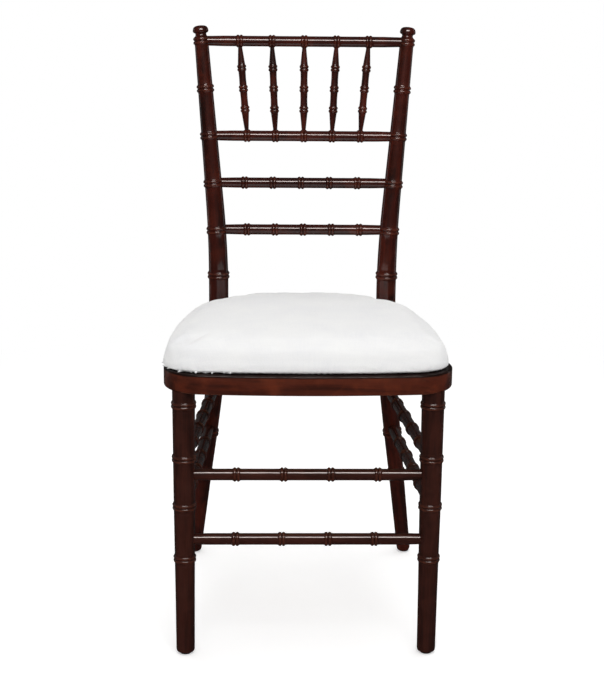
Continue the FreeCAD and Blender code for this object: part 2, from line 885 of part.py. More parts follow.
frontRail = newBody("seat_front_rail")
plan = newSketch(frontRail, "XY_Plane", "front_rail_plan")
halfTurn = math.radians(-45) + sideTurn / 2
cornerMiddle = cornerCentre + Vector(math.cos(halfTurn), math.sin(halfTurn), 0) * num.frameCorner
drawOutline(
    plan,
    [
        (mirrored(bowEndX), bowEndY),
        (bowEndX, bowEndY),
        (sideStartX, sideStartY),
        (sideInnerX, sideInnerY),
        (frontInnerX, frontInnerY),
        (mirrored(frontInnerX), frontInnerY),
        (mirrored(sideInnerX), sideInnerY),
        (mirrored(sideStartX), sideStartY),
    ],
    {
        0: (Vector(0, -num.frameFront, 0), dim.frameBow),
        1: (cornerMiddle, dim.frameCorner),
        7: (Vector(-cornerMiddle.x, cornerMiddle.y, 0), dim.frameCorner),
    },
)
pad(frontRail, plan, dim.frameDeep)
frontRail.Placement = FreeCAD.Placement(Vector(0, 0, num.frameBottom), FreeCAD.Rotation())
doc.recompute()


def outerEdges(shape, isOuter):
    """Names of the level edges along the outside of the frame."""
    found = []
    for index, edge in enumerate(shape.Edges, 1):
        middle = edge.valueAt((edge.FirstParameter + edge.LastParameter) / 2)
        level = abs(edge.BoundBox.ZLength) < 1e-6
        if level and isOuter(middle):
            found.append("Edge%d" % index)
    return found


def onFrontOutside(point):
    """True on the bow and on the two corner rounds."""
    onBow = abs((point - Vector(0, bowCentre, point.z)).Length - num.frameBow) < 0.01
    corner = Vector(abs(point.x), point.y, point.z) - Vector(cornerCentre.x, cornerCentre.y, point.z)
    return onBow or abs(corner.Length - num.frameCorner) < 0.01


def softenEdges(body, isOuter):
    base = body.Tip
    edges = outerEdges(base.Shape, isOuter)
    rounding = body.newObject("PartDesign::Fillet", body.Name + "_round")
    rounding.Base = (base, edges)
    rounding.setExpression("Radius", "sizes.frameEdgeRound")


softenEdges(frontRail, onFrontOutside)

# The panel and the rebate that it lies in share one outline


def panelCorners(grow):
    """The panel's four corners, or with grow those of its rebate."""
    reach = num.panelSeat + grow
    outer = sideStartInner + sideNormal * reach
    front = frontInner - reach
    rear = num.frameRearBack + num.fitGap + reach
    return onSideLine(outer, front), onSideLine(outer, rear)


def panelBlock(name, grow, height, bottom):
    """A four-sided block on the panel's outline."""
    front, rear = panelCorners(grow)
    body = newBody(name)
    outline = newSketch(body, "XY_Plane", name + "_plan")
    key = name.replace("_", "")
    frontX = note(key + "FrontX", front.x, name + ", front corner sideways")
    frontY = note(key + "FrontY", front.y, name + ", front edge")
    rearX = note(key + "RearX", rear.x, name + ", rear corner sideways")
    rearY = note(key + "RearY", rear.y, name + ", rear edge")
    drawOutline(
        outline,
        [
            (mirrored(frontX), frontY),
            (frontX, frontY),
            (rearX, rearY),
            (mirrored(rearX), rearY),
        ],
    )
    pad(body, outline, height)
    body.Placement = FreeCAD.Placement(Vector(0, 0, bottom), FreeCAD.Rotation())
    return body


rebate = panelBlock("rebate_block", 0, dim.panelThick * 2, panelBottom)
panel = panelBlock("seat_panel_sheet", -num.panelGap, dim.panelThick, panelBottom)

# Corner blocks: glued into the four inner corners under the panel


def blockCorner(side, end):
    """Inner corner of the seat frame and the two directions along its rails."""
    if end == "front":
        corner = Vector(side * frontInnerOut.x, frontInner, 0)
        alongCross = Vector(-side, 0, 0)
        alongSide = Vector(side * sideRun.x, sideRun.y, 0)
    else:
        inner = onSideLine(sideStartInner, num.frameRearBack + num.fitGap)
        corner = Vector(side * inner.x, inner.y, 0)
        alongCross = Vector(-side, 0, 0)
        alongSide = Vector(-side * sideRun.x, -sideRun.y, 0)
    return corner, alongCross, alongSide


blockBottom = panelBottom - num.blockHigh
blockEnds = [(side, end) for end in ("front", "rear") for side in (-1, 1)]


def blockOutline(side, end):
    """Five corners of a block: the rails' corner cut back, and a tip on each rail."""
    corner, cross, along = blockCorner(side, end)
    into = Vector(-along.y, along.x, 0)
    if into.dot(cross) < 0:
        into = into * -1
    deep = Vector(0, 1 if end == "front" else -1, 0)
    return [
        corner,
        corner + cross * num.blockReach,
        corner + cross * num.blockReach + deep * num.blockNose,
        corner + along * num.blockReach + into * num.blockNose,
        corner + along * num.blockReach,
    ]


# Front rail: bored for the legs and mortised for the side rails' tenons


def sideJointTenon(side, grow):
    """The side rail's front tenon, or with grow its mortise in the front rail."""
    run = Vector(side * sideRun.x, sideRun.y, 0)
    face = (sideStart + sideStartInner) * 0.5
    centre = Vector(side * face.x, face.y, tenonMiddle)
    start = centre - run * (num.sideTenonLength + grow.value)
    return box(
        "side_joint_tenon",
        start,
        run,
        dim.sideTenonLength * 2,
        dim.sideTenonThick + grow * 2,
        dim.railTenonHigh + grow * 2,
    )


tools = [rebate]
for side in (-1, 1):
    tools.append(
        cylinder(
            "front_rail_leg_hole",
            legPoint(side, num.frameBottom),
            upward,
            dim.legTenonRadius + dim.fitGap,
            dim.legTenonLength + dim.fitGap,
        )
    )
    tools.append(sideJointTenon(side, dim.fitGap))
keep("seat_front_rail", cutFrom("seat_front_rail", frontRail, tools))

# Side rails: a straight tapering board, coped to the round post, a tenon at each end

sideEndX = note("sideEndX", rearCorner.x, "outer corner of the side rail's rear end")
sideEndY = note("sideEndY", rearCorner.y, "rear end of the side rails")
sideEndInner = onSideLine(sideStartInner, num.frameRearBack)
sideEndInnerX = note("sideEndInnerX", sideEndInner.x, "inner corner of that end")


def postEnvelope(name, side):
    """Room for the round post where a rail is coped to it."""
    base = seatPost[side] - postDirection(side, seatMiddle) * (num.frameDeep * 2)
    return cylinder(
        name,
        base,
        postDirection(side, seatMiddle),
        dim.postSeatRadius + dim.copeGap,
        dim.frameDeep * 4,
    )


for sideName, side in sides.items():
    name = "seat_side_rail_" + sideName
    board = newBody(name)
    outline = newSketch(board, "XY_Plane", name + "_plan")
    flip = side
    gapRun = sideRun * num.fitGap
    startX = note(name.replace("_", "") + "StartX", sideStart.x + gapRun.x, "outer front corner")
    startY = note(name.replace("_", "") + "StartY", sideStart.y + gapRun.y, "outer front corner")
    innerX = note(name.replace("_", "") + "InnerX", sideStartInner.x + gapRun.x, "inner corner")
    innerY = note(name.replace("_", "") + "InnerY", sideStartInner.y + gapRun.y, "inner corner")
    drawOutline(
        outline,
        [
            (startX * flip, startY),
            (sideEndX * flip, sideEndY),
            (sideEndInnerX * flip, sideEndY),
            (innerX * flip, innerY),
        ],
    )
    pad(board, outline, dim.frameDeep)
    board.Placement = FreeCAD.Placement(Vector(0, 0, num.frameBottom), FreeCAD.Rotation())
    doc.recompute()

    def onSideOutside(point, side=side):
        off = Vector(side * point.x, point.y, 0) - sideStart
        return abs(off.dot(sideNormal)) < 0.01

    softenEdges(board, onSideOutside)
    sideRebate = panelBlock("rebate_" + sideName, 0, dim.panelThick * 2, panelBottom)
    tools = [sideRebate, postEnvelope(name + "_cope", side)]
    coped = cutFrom(name, board, tools)
    coped.Label = name + "_coped"
    rail = joined(name + "_joined", [coped, sideTenon(side, noGap), sideJointTenon(side, noGap)])
    keep(name, rail)

# Rear rail: between the posts, coped to both, a tenon at each end

rearFront = num.frameRearBack + num.fitGap
rearBoard = box(
    "rear_board",
    Vector(-seatPost[1].x, rearFront + num.rearRailThick / 2, seatMiddle),
    Vector(1, 0, 0),
    note("rearBoardLength", 2 * seatPost[1].x, "rear rail between the posts' axes"),
    dim.rearRailThick,
    dim.frameDeep,
)
rearRebate = panelBlock("rebate_rear", 0, dim.panelThick * 2, panelBottom)
tools = [rearRebate]
tools += [postEnvelope("rear_cope", side) for side in (-1, 1)]
rearCoped = cutFrom("seat_rear_rail", rearBoard, tools)
rearCoped.Label = "seat_rear_rail_coped"
keep(
    "seat_rear_rail",
    joined("rear_rail_joined", [rearCoped, rearTenon(-1, noGap), rearTenon(1, noGap)]),
)

for side, end in blockEnds:
    name = "corner_block_%s_%s" % (end, "left" if side < 0 else "right")
    block = newBody(name)
    outline = newSketch(block, "XY_Plane", name + "_plan")
    key = name.replace("_", "")
    corners = []
    for index, point in enumerate(blockOutline(side, end)):
        letter = "ABCDE"[index]
        corners.append(
            (
                note(key + letter + "x", point.x, name + " corner sideways"),
                note(key + letter + "y", point.y, name + " corner front to back"),
            )
        )
    drawOutline(outline, corners)
    pad(block, outline, dim.blockHigh)
    block.Placement = FreeCAD.Placement(Vector(0, 0, blockBottom), FreeCAD.Rotation())
    keep(name, block)

keep("seat_panel", panel)

# Nail-on glides under the four feet

glideFeet = {
    "front_left": legPoint(-1, 0),
    "front_right": legPoint(1, 0),
    "rear_left": Vector(-num.footOut, num.footBack, 0),
    "rear_right": Vector(num.footOut, num.footBack, 0),
}
for footName, at in glideFeet.items():
    round_ = dim.glideThick / 3
    stations = [
        (dim.glideThick * 0, dim.glideRadius - round_),
        (round_ * 1, dim.glideRadius),
        (dim.glideThick * 1, dim.glideRadius),
        (dim.glideThick * 1, dim.glideNailRadius),
        (dim.glideThick + dim.glideNailLength, dim.glideNailRadius),
    ]
    keep("glide_" + footName, turned("glide_" + footName, stations, at, upward))

# Cushion: one rounded plan outline, drawn in at the bottom and crowned at the top

cushionBottom = frameTop + num.softGap
cushionMiddle = (num.cushionRear - num.cushionFront) / 2


def cushionPlan():
    """Points of the cushion's widest outline, from the rear middle round over +X to the front."""
    bow = num.cushionBow
    frontCorner = num.cushionFrontCorner
    rearRound = num.cushionRearCorner
    sideBow = num.cushionSideBow
    frontMiddle = Vector(0, bow - num.cushionFront, 0)
    rearMiddle = Vector(0, num.cushionRear - bow, 0)
    cornerX = num.cushionHalf - frontCorner
    cornerY = frontMiddle.y - math.sqrt((bow - frontCorner) ** 2 - cornerX ** 2)
    corner = Vector(cornerX, cornerY, 0)
    sideMiddle = Vector(num.cushionHalf - sideBow, cornerY, 0)
    # The rear corner's centre is one radius inside both the side and the rear edge
    reachSide = sideBow - rearRound
    reachRear = bow - rearRound
    gap = rearMiddle - sideMiddle
    span = gap.Length
    shareAlong = (reachSide ** 2 - reachRear ** 2 + span ** 2) / (2 * span)
    shareAcross = math.sqrt(reachSide ** 2 - shareAlong ** 2)
    unit = gap * (1 / span)
    across = Vector(-unit.y, unit.x, 0)
    rear = sideMiddle + unit * shareAlong + across * shareAcross
    if rear.y < 0 or rear.x < 0:
        rear = sideMiddle + unit * shareAlong - across * shareAcross

    def bearing(vector):
        return math.atan2(vector.y, vector.x)

    frontTurn = bearing(corner - frontMiddle)
    sideEnd = bearing(rear - sideMiddle)
    rearTurn = bearing(rear - rearMiddle)
    arcs = [
        (frontMiddle, bow, -math.pi / 2, frontTurn, cushionSteps["edge"]),
        (corner, frontCorner, frontTurn, 0, cushionSteps["corner"]),
        (sideMiddle, sideBow, 0, sideEnd, cushionSteps["side"]),
        (rear, rearRound, sideEnd, rearTurn, cushionSteps["corner"]),
        (rearMiddle, bow, rearTurn, math.pi / 2, cushionSteps["edge"]),
    ]
    points = []
    for centre, radius, start, end, steps in arcs:
        for step in range(steps):
            turn = start + (end - start) * step / steps
            points.append(centre + Vector(math.cos(turn), math.sin(turn), 0) * radius)
    points.append(Vector(0, num.cushionRear, 0))
    return points


# Straight pieces per half edge, per side and per corner of the outline
cushionSteps = {"edge": 4, "side": 4, "corner": 6}
cushionHalfPlan = cushionPlan()


def cushionWire(share, inset, height):
    """The cushion's outline at a height, as a share of its plan less an even inset."""
    halfWidth = num.cushionHalf
    halfDepth = (num.cushionRear + num.cushionFront) / 2
    scaleX = share * (halfWidth - inset) / halfWidth
    scaleY = share * (halfDepth - inset) / halfDepth
    mirror = [Vector(-point.x, point.y, 0) for point in reversed(cushionHalfPlan[1:-1])]
    corners = []
    for point in cushionHalfPlan + mirror:
        back = cushionMiddle + (point.y - cushionMiddle) * scaleY
        corners.append(Vector(point.x * scaleX, back, height))
    return Part.makePolygon(corners + [corners[0]])


# Height over the bottom as a share of the thickness, and the plan's share there
cushionProfile = [
    (0.0, 0.925),
    (0.1, 0.978),
    (0.4, 1.0),
    (0.7, 0.963),
    (0.9, 0.845),
    (1.0, 0.5),
]
fillProfile = [cushionProfile[index] for index in (0, 2, 4, 5)]


def cushionSolid(profile, inset):
    """A ruled loft through the profile's outlines, evenly inset from the cover's outside."""
    rise = num.cushionThick - 2 * inset
    wires = []
    for level, share in profile:
        wires.append(cushionWire(share, inset, cushionBottom + inset + rise * level))
    return Part.makeLoft(wires, True, True)


def softPiece(name, shape):
    piece = doc.addObject("Part::Feature", name)
    piece.Shape = shape
    return keep(name, piece)


coverOutside = cushionSolid(cushionProfile, 0)
coverInside = cushionSolid(fillProfile, num.coverThick)
fillInset = num.coverThick + num.softGap
filling = cushionSolid(fillProfile, fillInset)
boardTop = cushionBottom + fillInset + num.boardThick
boardWire = cushionWire(fillProfile[0][1], fillInset, cushionBottom + fillInset)
board = Part.Face(boardWire).extrude(Vector(0, 0, num.boardThick))
aboveBoard = Part.makeBox(
    num.cushionHalf * 4,
    num.cushionHalf * 4,
    num.cushionThick * 2,
    Vector(-num.cushionHalf * 2, -num.cushionHalf * 2, boardTop),
)
softPiece("cushion_cover", coverOutside.cut(coverInside))
softPiece("cushion_foam", filling.common(aboveBoard))
softPiece("cushion_board", board)

# Build, check and write every node

doc.recompute()
for thing in doc.Objects:
    for state in thing.State:
        if state in ("Invalid", "Error"):
            raise RuntimeError("%s is %s" % (thing.Label, state))

os.makedirs("parts", exist_ok=True)
for name, thing in nodes.items():
    shape = thing.Shape
    if shape.isNull() or not shape.isValid():
        raise RuntimeError(name + " has no sound shape")
    if not shape.Solids:
        raise RuntimeError(name + " holds no solid")
    shape.exportStep("parts/%s.step" % name)
    print("%s: %d solids, %.1f cm3" % (name, len(shape.Solids), shape.Volume / 1000))
print("%d nodes" % len(nodes))
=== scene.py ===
import math
from functools import partial

import bpy
import bmesh
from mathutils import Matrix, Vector, noise


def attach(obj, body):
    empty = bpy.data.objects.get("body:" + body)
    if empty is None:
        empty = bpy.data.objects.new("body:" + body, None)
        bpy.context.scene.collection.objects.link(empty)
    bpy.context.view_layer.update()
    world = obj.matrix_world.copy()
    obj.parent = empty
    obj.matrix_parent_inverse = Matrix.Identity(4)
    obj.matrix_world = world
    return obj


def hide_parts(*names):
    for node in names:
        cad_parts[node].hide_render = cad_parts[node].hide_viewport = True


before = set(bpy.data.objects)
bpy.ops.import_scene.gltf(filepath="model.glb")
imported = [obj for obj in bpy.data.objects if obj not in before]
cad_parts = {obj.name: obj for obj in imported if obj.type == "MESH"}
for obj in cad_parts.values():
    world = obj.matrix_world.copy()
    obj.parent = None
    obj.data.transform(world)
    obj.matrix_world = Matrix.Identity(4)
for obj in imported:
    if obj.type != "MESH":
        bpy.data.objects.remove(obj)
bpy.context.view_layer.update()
print("frame loaded, nodes:", len(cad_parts))

scene = bpy.context.scene
scene.view_settings.view_transform = "Standard"


# Helpers for node trees

def newTree(name, kind, inputs, outputs):
    tree = bpy.data.node_groups.new(name, kind)
    for way, rows in (("INPUT", inputs), ("OUTPUT", outputs)):
        for label, socketKind, *start in rows:
            socketType = "NodeSocket" + socketKind
            socket = tree.interface.new_socket(label, in_out=way, socket_type=socketType)
            if start:
                socket.default_value = start[0]
    return tree


def setAll(thing, values):
    for key, value in values.items():
        setattr(thing, key, value)
    return thing


def put(tree, kind, **given):
    return setAll(tree.nodes.new(kind), given)


def feed(tree, socket, source):
    # a socket takes either another node's output or a plain value
    if isinstance(source, bpy.types.NodeSocket):
        tree.links.new(source, socket)
    else:
        socket.default_value = source


def feedFirst(tree, node, *sources):
    for socket, source in zip(node.inputs, sources):
        feed(tree, socket, source)
    return node.outputs


def feedNamed(tree, node, **sources):
    for name, source in sources.items():
        feed(tree, node.inputs[name.replace("_", " ")], source)
    return node.outputs


def made(tree, kind, **sources):
    # the first output of a new node with these inputs
    return feedNamed(tree, put(tree, kind), **sources)[0]


def maths(tree, operation, *sources, clamp=False):
    node = put(tree, "ShaderNodeMath", operation=operation, use_clamp=clamp)
    return feedFirst(tree, node, *sources)[0]


def times(tree, first, second):
    return maths(tree, "MULTIPLY", first, second)


def vectorMaths(tree, operation, *sources):
    return feedFirst(tree, put(tree, "ShaderNodeVectorMath", operation=operation), *sources)[0]


def ranged(tree, source, fromLow, fromHigh, toLow=0.0, toHigh=1.0, smooth=False):
    node = put(tree, "ShaderNodeMapRange", clamp=True)
    node.interpolation_type = "SMOOTHSTEP" if smooth else "LINEAR"
    return feedFirst(tree, node, source, fromLow, fromHigh, toLow, toHigh)["Result"]


def mixed(tree, factor, first, second, blend="MIX"):
    node = put(tree, "ShaderNodeMix", data_type="RGBA", blend_type=blend)
    feed(tree, node.inputs["Factor"], factor)
    feed(tree, node.inputs[6], first)
    feed(tree, node.inputs[7], second)
    return node.outputs[2]


def noiseField(tree, vector, scale, detail=3.0, roughness=0.5, distortion=0.0):
    return made(
        tree, "ShaderNodeTexNoise", Vector=vector, Scale=scale, Detail=detail,
        Roughness=roughness, Distortion=distortion,
    )


def attributeOf(tree, name, output):
    node = put(tree, "ShaderNodeAttribute", attribute_name=name, attribute_type="GEOMETRY")
    return node.outputs[output]


def inside(tree):
    return put(tree, "NodeGroupInput").outputs


def useGroup(tree, group, **sources):
    return feedNamed(tree, put(tree, "ShaderNodeGroup", node_tree=group), **sources)


def giveOut(tree, **results):
    feedNamed(tree, put(tree, "NodeGroupOutput"), **results)


def partsOf(tree, vector):
    return feedFirst(tree, put(tree, "ShaderNodeSeparateXYZ"), vector)


def objectPlace(tree):
    return put(tree, "ShaderNodeTexCoord").outputs["Object"]


def linked(name, data):
    thing = bpy.data.objects.new(name, data)
    scene.collection.objects.link(thing)
    return thing


def store(mesh, name, kind, values):
    layer = mesh.attributes.new(name, kind, "POINT")
    layer.data.foreach_set("vector" if kind == "FLOAT_VECTOR" else "value", values)


def written(work, mesh):
    bmesh.ops.recalc_face_normals(work, faces=work.faces)
    work.to_mesh(mesh)
    work.free()
    return mesh


def color(red, green, blue):
    # sRGB as read on a screen, 0 to 255, into the renderer's own scale
    def straight(value):
        share = value / 255
        return share / 12.92 if share <= 0.04045 else ((share + 0.055) / 1.055) ** 2.4
    return (straight(red), straight(green), straight(blue), 1.0)


# Shader groups: the wood's figure, worn crests partly carrying a painted highlight, and the
# cushion's weave with painted shade in its gaps

def woodFigureGroup():
    tree = newTree(
        "woodFigure", "ShaderNodeTree",
        [
            ("Grain", "Vector"), ("Dark", "Color"), ("Middle", "Color"), ("Light", "Color"),
            ("Streak Scale", "Float", 70.0), ("Mottle", "Float", 0.5), ("Pores", "Float", 0.5),
        ],
        [("Color", "Color"), ("Height", "Float"), ("Smudge", "Float")],
    )
    given = inside(tree)
    grain = given["Grain"]
    longStreak = vectorMaths(tree, "MULTIPLY", grain, (1.0, 1.0, 0.07))
    fibre = vectorMaths(tree, "MULTIPLY", grain, (1.0, 1.0, 0.02))
    streak = noiseField(tree, longStreak, given["Streak Scale"], 4.0, 0.6, 0.6)
    fibres = noiseField(tree, fibre, 1100.0, 2.0, 0.6)
    pore = noiseField(tree, fibre, 2300.0, 1.0, 0.5)
    cloud = noiseField(tree, grain, 26.0, 3.0, 0.55, 0.4)
    patch = noiseField(tree, grain, 9.0, 2.0, 0.5)
    streakShare = ranged(tree, streak, 0.32, 0.68, smooth=True)
    body = mixed(tree, streakShare, given["Dark"], given["Middle"])
    mottle = given["Mottle"]
    cloudShare = times(tree, ranged(tree, cloud, 0.42, 0.72, smooth=True), mottle)
    body = mixed(tree, cloudShare, body, given["Light"])
    patchShare = times(tree, ranged(tree, patch, 0.5, 0.75, smooth=True), mottle)
    body = mixed(tree, times(tree, patchShare, 0.6), body, given["Dark"])
    fibreShare = ranged(tree, fibres, 0.3, 0.7, 0.86, 1.08)
    poreMask = times(tree, ranged(tree, pore, 0.66, 0.74), given["Pores"])
    shade = maths(tree, "SUBTRACT", fibreShare, times(tree, poreMask, 0.35))
    tone = put(tree, "ShaderNodeCombineColor")
    for socket in tone.inputs:
        feed(tree, socket, shade)
    body = mixed(tree, 1.0, body, tone.outputs[0], "MULTIPLY")
    height = maths(tree, "SUBTRACT", times(tree, fibres, 0.35), poreMask)
    smudge = noiseField(tree, grain, 48.0, 4.0, 0.62)
    giveOut(tree, Color=body, Height=height, Smudge=ranged(tree, smudge, 0.35, 0.7))
    return tree


def crestWearAndHighlightGroup():
    tree = newTree(
        "crestWearAndHighlight", "ShaderNodeTree",
        [
            ("Grain", "Vector"), ("Crest", "Float"), ("Amount", "Float", 0.5),
            ("Patch Scale", "Float", 160.0),
        ],
        [("Mask", "Float")],
    )
    given = inside(tree)
    patchy = noiseField(tree, given["Grain"], given["Patch Scale"], 3.0, 0.6)
    rubbedAndHighlit = times(tree, ranged(tree, patchy, 0.34, 0.66), given["Amount"])
    # lighter rubbed patches on the crests: wear, and partly a painted highlight along the crests
    crest = maths(tree, "POWER", given["Crest"], 3.0)
    giveOut(tree, Mask=maths(tree, "MULTIPLY", rubbedAndHighlit, crest, clamp=True))
    return tree


def plainWeaveGroup():
    tree = newTree(
        "plainWeave", "ShaderNodeTree",
        [("Cloth", "Vector"), ("Threads", "Float", 1500.0), ("Slub", "Float", 0.4)],
        [("Height", "Float"), ("Gap", "Float"), ("Tint", "Float")],
    )
    given = inside(tree)
    wobble = noiseField(tree, given["Cloth"], 90.0, 2.0)
    across = partsOf(tree, given["Cloth"])
    turnRate = times(tree, given["Threads"], math.pi)
    lean = times(tree, wobble, 2.2)
    waves = []
    for axis in ("X", "Y"):
        phase = maths(tree, "MULTIPLY_ADD", across[axis], turnRate, lean)
        waves.append(maths(tree, "SINE", phase))
    over = times(tree, waves[0], waves[1])
    warp = maths(tree, "ABSOLUTE", waves[0])
    weft = maths(tree, "ABSOLUTE", waves[1])
    level = maths(tree, "MULTIPLY_ADD", over, 0.25, times(tree, warp, weft))
    slubVector = vectorMaths(tree, "MULTIPLY", given["Cloth"], (1.0, 0.06, 1.0))
    slub = noiseField(tree, slubVector, 420.0, 2.0, 0.5)
    cross = vectorMaths(tree, "MULTIPLY", given["Cloth"], (0.06, 1.0, 1.0))
    crossSlub = noiseField(tree, cross, 380.0, 2.0, 0.5)
    bothSlubs = maths(tree, "ADD", slub, crossSlub)
    giveOut(
        tree,
        Height=maths(tree, "ADD", level, times(tree, bothSlubs, given["Slub"])),
        # painted shade: the gaps between threads come out darker
        Gap=ranged(tree, level, 0.35, 0.02),
        Tint=ranged(tree, bothSlubs, 0.8, 1.2),
    )
    return tree


woodFigure = woodFigureGroup()
crestWearAndHighlight = crestWearAndHighlightGroup()
plainWeave = plainWeaveGroup()


# Materials

def newMaterial(name, **plain):
    material = bpy.data.materials.new(name)
    material.use_nodes = True
    tree = material.node_tree
    shader = tree.nodes["Principled BSDF"]
    feedNamed(tree, shader, **plain)
    return material, tree, shader


def bumped(tree, shader, height, strength, distance):
    node = put(tree, "ShaderNodeBump")
    bump = feedNamed(tree, node, Strength=strength, Distance=distance, Height=height)
    feed(tree, shader.inputs["Normal"], bump["Normal"])


def figured(tree, grain, look):
    return useGroup(
        tree, woodFigure, Grain=grain, Dark=look["dark"], Middle=look["middle"],
        Light=look["light"], Streak_Scale=look["streakScale"], Mottle=look["mottle"],
        Pores=look["pores"],
    )


def lacqueredWood(name, look):
    material, tree, shader = newMaterial(
        name,
        Coat_Roughness=look["coatRoughness"],
        Coat_IOR=1.5,
        Specular_IOR_Level=look["specular"],
    )
    grain = attributeOf(tree, "grain", "Vector")
    crest = attributeOf(tree, "crest", "Fac")
    figure = figured(tree, grain, look)
    wornAndHighlit = useGroup(tree, crestWearAndHighlight, Grain=grain, Crest=crest, Amount=look["wearAndHighlight"])["Mask"]
    # the crests take a lighter, redder tone: wear in patches, and partly a painted highlight;
    # rougher with less coat where worn
    tinted = mixed(tree, wornAndHighlit, figure["Color"], look["rubbedAndHighlit"])
    # painted shadow: a dark band with a dulled coat along the frame's top edge, under the cushion,
    # standing in for the cushion's contact shadow
    height = partsOf(tree, objectPlace(tree))["Z"]
    underCushionShadow = times(tree, ranged(tree, height, *look["underCushionShadowFrom"]), look["underCushionShadowStrength"])
    rough = ranged(tree, figure["Smudge"], 0.0, 1.0, look["roughLow"], look["roughHigh"])
    coat = ranged(tree, figure["Smudge"], 0.0, 1.0, look["coatHigh"], look["coatLow"])
    coat = maths(tree, "MULTIPLY_ADD", underCushionShadow, -look["underCushionShadowDull"], coat)
    feedNamed(
        tree, shader, Base_Color=mixed(tree, underCushionShadow, tinted, look["underCushionShadow"]),
        Roughness=maths(tree, "MULTIPLY_ADD", wornAndHighlit, 0.12, rough),
        Coat_Weight=maths(tree, "MULTIPLY_ADD", wornAndHighlit, -0.4, coat, clamp=True),
    )
    bumped(tree, shader, figure["Height"], look["bump"], 0.0004)
    return material


turnedLook = {
    "dark": color(34, 9, 4), "middle": color(64, 18, 9), "light": color(86, 30, 14),
    "rubbedAndHighlit": color(112, 58, 38), "streakScale": 75.0, "mottle": 0.5, "pores": 0.5,
    "wearAndHighlight": 0.35, "roughLow": 0.4, "roughHigh": 0.55, "coatLow": 0.75, "coatHigh": 1.0,
    "coatRoughness": 0.1, "specular": 0.08, "bump": 0.12,
    # no painted shadow under the cushion on the turned wood
    "underCushionShadowStrength": 0.0, "underCushionShadowFrom": (0.4366, 0.4384), "underCushionShadow": color(9, 4, 3), "underCushionShadowDull": 0.7,
}
# painted light: this copy of the same stain is lighter than the posts' and rails', standing in for
# how brightly the apron is lit; its grain scale and wear are its own
apronLookPaintedLight = dict(
    turnedLook, dark=color(46, 16, 8), middle=color(82, 31, 15), light=color(110, 46, 23),
    # painted shadow: the apron's top edge under the cushion is darkened and its coat dulled
    underCushionShadowStrength=0.92, streakScale=55.0, wearAndHighlight=0.45, rubbedAndHighlit=color(128, 76, 54),
)
# painted light: this copy of the same stain, for the legs and stretchers, is greyer and flatter
# than the posts', standing in for how the lower parts are lit
legLookPaintedLight = dict(
    turnedLook, dark=color(38, 15, 10), middle=color(58, 25, 17), light=color(70, 33, 24),
    mottle=0.35,
)
turnedWood = lacqueredWood("turnedMahogany", turnedLook)
legWoodPaintedLight = lacqueredWood("legMahoganyPaintedLight", legLookPaintedLight)
apronWoodPaintedLight = lacqueredWood("apronMahoganyPaintedLight", apronLookPaintedLight)


def bareWood(name, look):
    material, tree, shader = newMaterial(name, Specular_IOR_Level=0.3)
    where = objectPlace(tree)
    turn = put(tree, "ShaderNodeMapping", vector_type="POINT")
    grain = feedNamed(tree, turn, Vector=where, Rotation=look["turn"])[0]
    figure = figured(tree, grain, look)
    shown = figure["Color"]
    if look["plies"]:
        # the edge of the sheet shows its plies as level bands
        level = partsOf(tree, where)["Z"]
        band = maths(tree, "SINE", times(tree, level, look["plies"]))
        facing = partsOf(tree, put(tree, "ShaderNodeNewGeometry").outputs["Normal"])["Z"]
        edge = ranged(tree, maths(tree, "ABSOLUTE", facing), 0.5, 0.2)
        share = times(tree, ranged(tree, band, -0.1, 0.1), edge)
        shown = mixed(tree, times(tree, share, 0.55), shown, look["dark"])
    rough = ranged(tree, figure["Smudge"], 0.0, 1.0, 0.55, 0.75)
    feedNamed(tree, shader, Base_Color=shown, Roughness=rough)
    bumped(tree, shader, figure["Height"], 0.25, 0.0005)
    return material


blockLook = {
    "dark": color(150, 108, 74), "middle": color(186, 144, 104), "light": color(204, 168, 128),
    "streakScale": 60.0, "mottle": 0.35, "pores": 0.8, "turn": (math.radians(90), 0.0, 0.0),
    "plies": 0.0,
}
panelLook = dict(
    blockLook, dark=color(128, 88, 56), middle=color(178, 136, 96), light=color(198, 160, 118),
    streakScale=38.0, turn=(0.0, math.radians(90), 0.0), plies=3490.0,
)
blockWood = bareWood("blockBeech", blockLook)
panelWood = bareWood("panelPlywood", panelLook)


def glideMaterial():
    material, tree, shader = newMaterial("glidePlastic", Specular_IOR_Level=0.5)
    where = objectPlace(tree)
    pebble = noiseField(tree, where, 2400.0, 2.0)
    drawn = vectorMaths(tree, "MULTIPLY", where, (1.0, 0.2, 1.0))
    scuff = noiseField(tree, drawn, 700.0, 3.0, 0.65)
    share = ranged(tree, scuff, 0.56, 0.72)
    shown = mixed(tree, share, color(42, 38, 36), color(86, 80, 76))
    rough = ranged(tree, scuff, 0.3, 0.8, 0.38, 0.62)
    feedNamed(tree, shader, Base_Color=shown, Roughness=rough)
    bumped(tree, shader, maths(tree, "ADD", pebble, times(tree, share, -0.6)), 0.3, 0.0003)
    return material


def clothMaterial():
    material, tree, shader = newMaterial(
        "cushionCotton", Sheen_Weight=0.25, Sheen_Roughness=0.5, Specular_IOR_Level=0.2,
    )
    cloth = attributeOf(tree, "cloth", "Vector")
    weave = useGroup(tree, plainWeave, Cloth=cloth, Threads=1450.0, Slub=0.35)
    cloud = noiseField(tree, cloth, 14.0, 3.0, 0.5)
    body = mixed(tree, ranged(tree, cloud, 0.35, 0.7), color(240, 240, 239), color(234, 234, 235))
    body = mixed(tree, times(tree, weave["Tint"], 0.35), body, color(245, 244, 242))
    # painted shade: the weave's gaps between threads are darkened
    body = mixed(tree, times(tree, weave["Gap"], 0.3), body, color(206, 206, 208))
    rough = ranged(tree, weave["Tint"], 0.0, 1.0, 0.78, 0.92)
    feedNamed(tree, shader, Base_Color=body, Roughness=rough)
    bumped(tree, shader, weave["Height"], 0.22, 0.0003)
    return material


glidePlastic = glideMaterial()
cushionCotton = clothMaterial()
print("materials made")


# The geometry nodes tree that turns a bar on its line

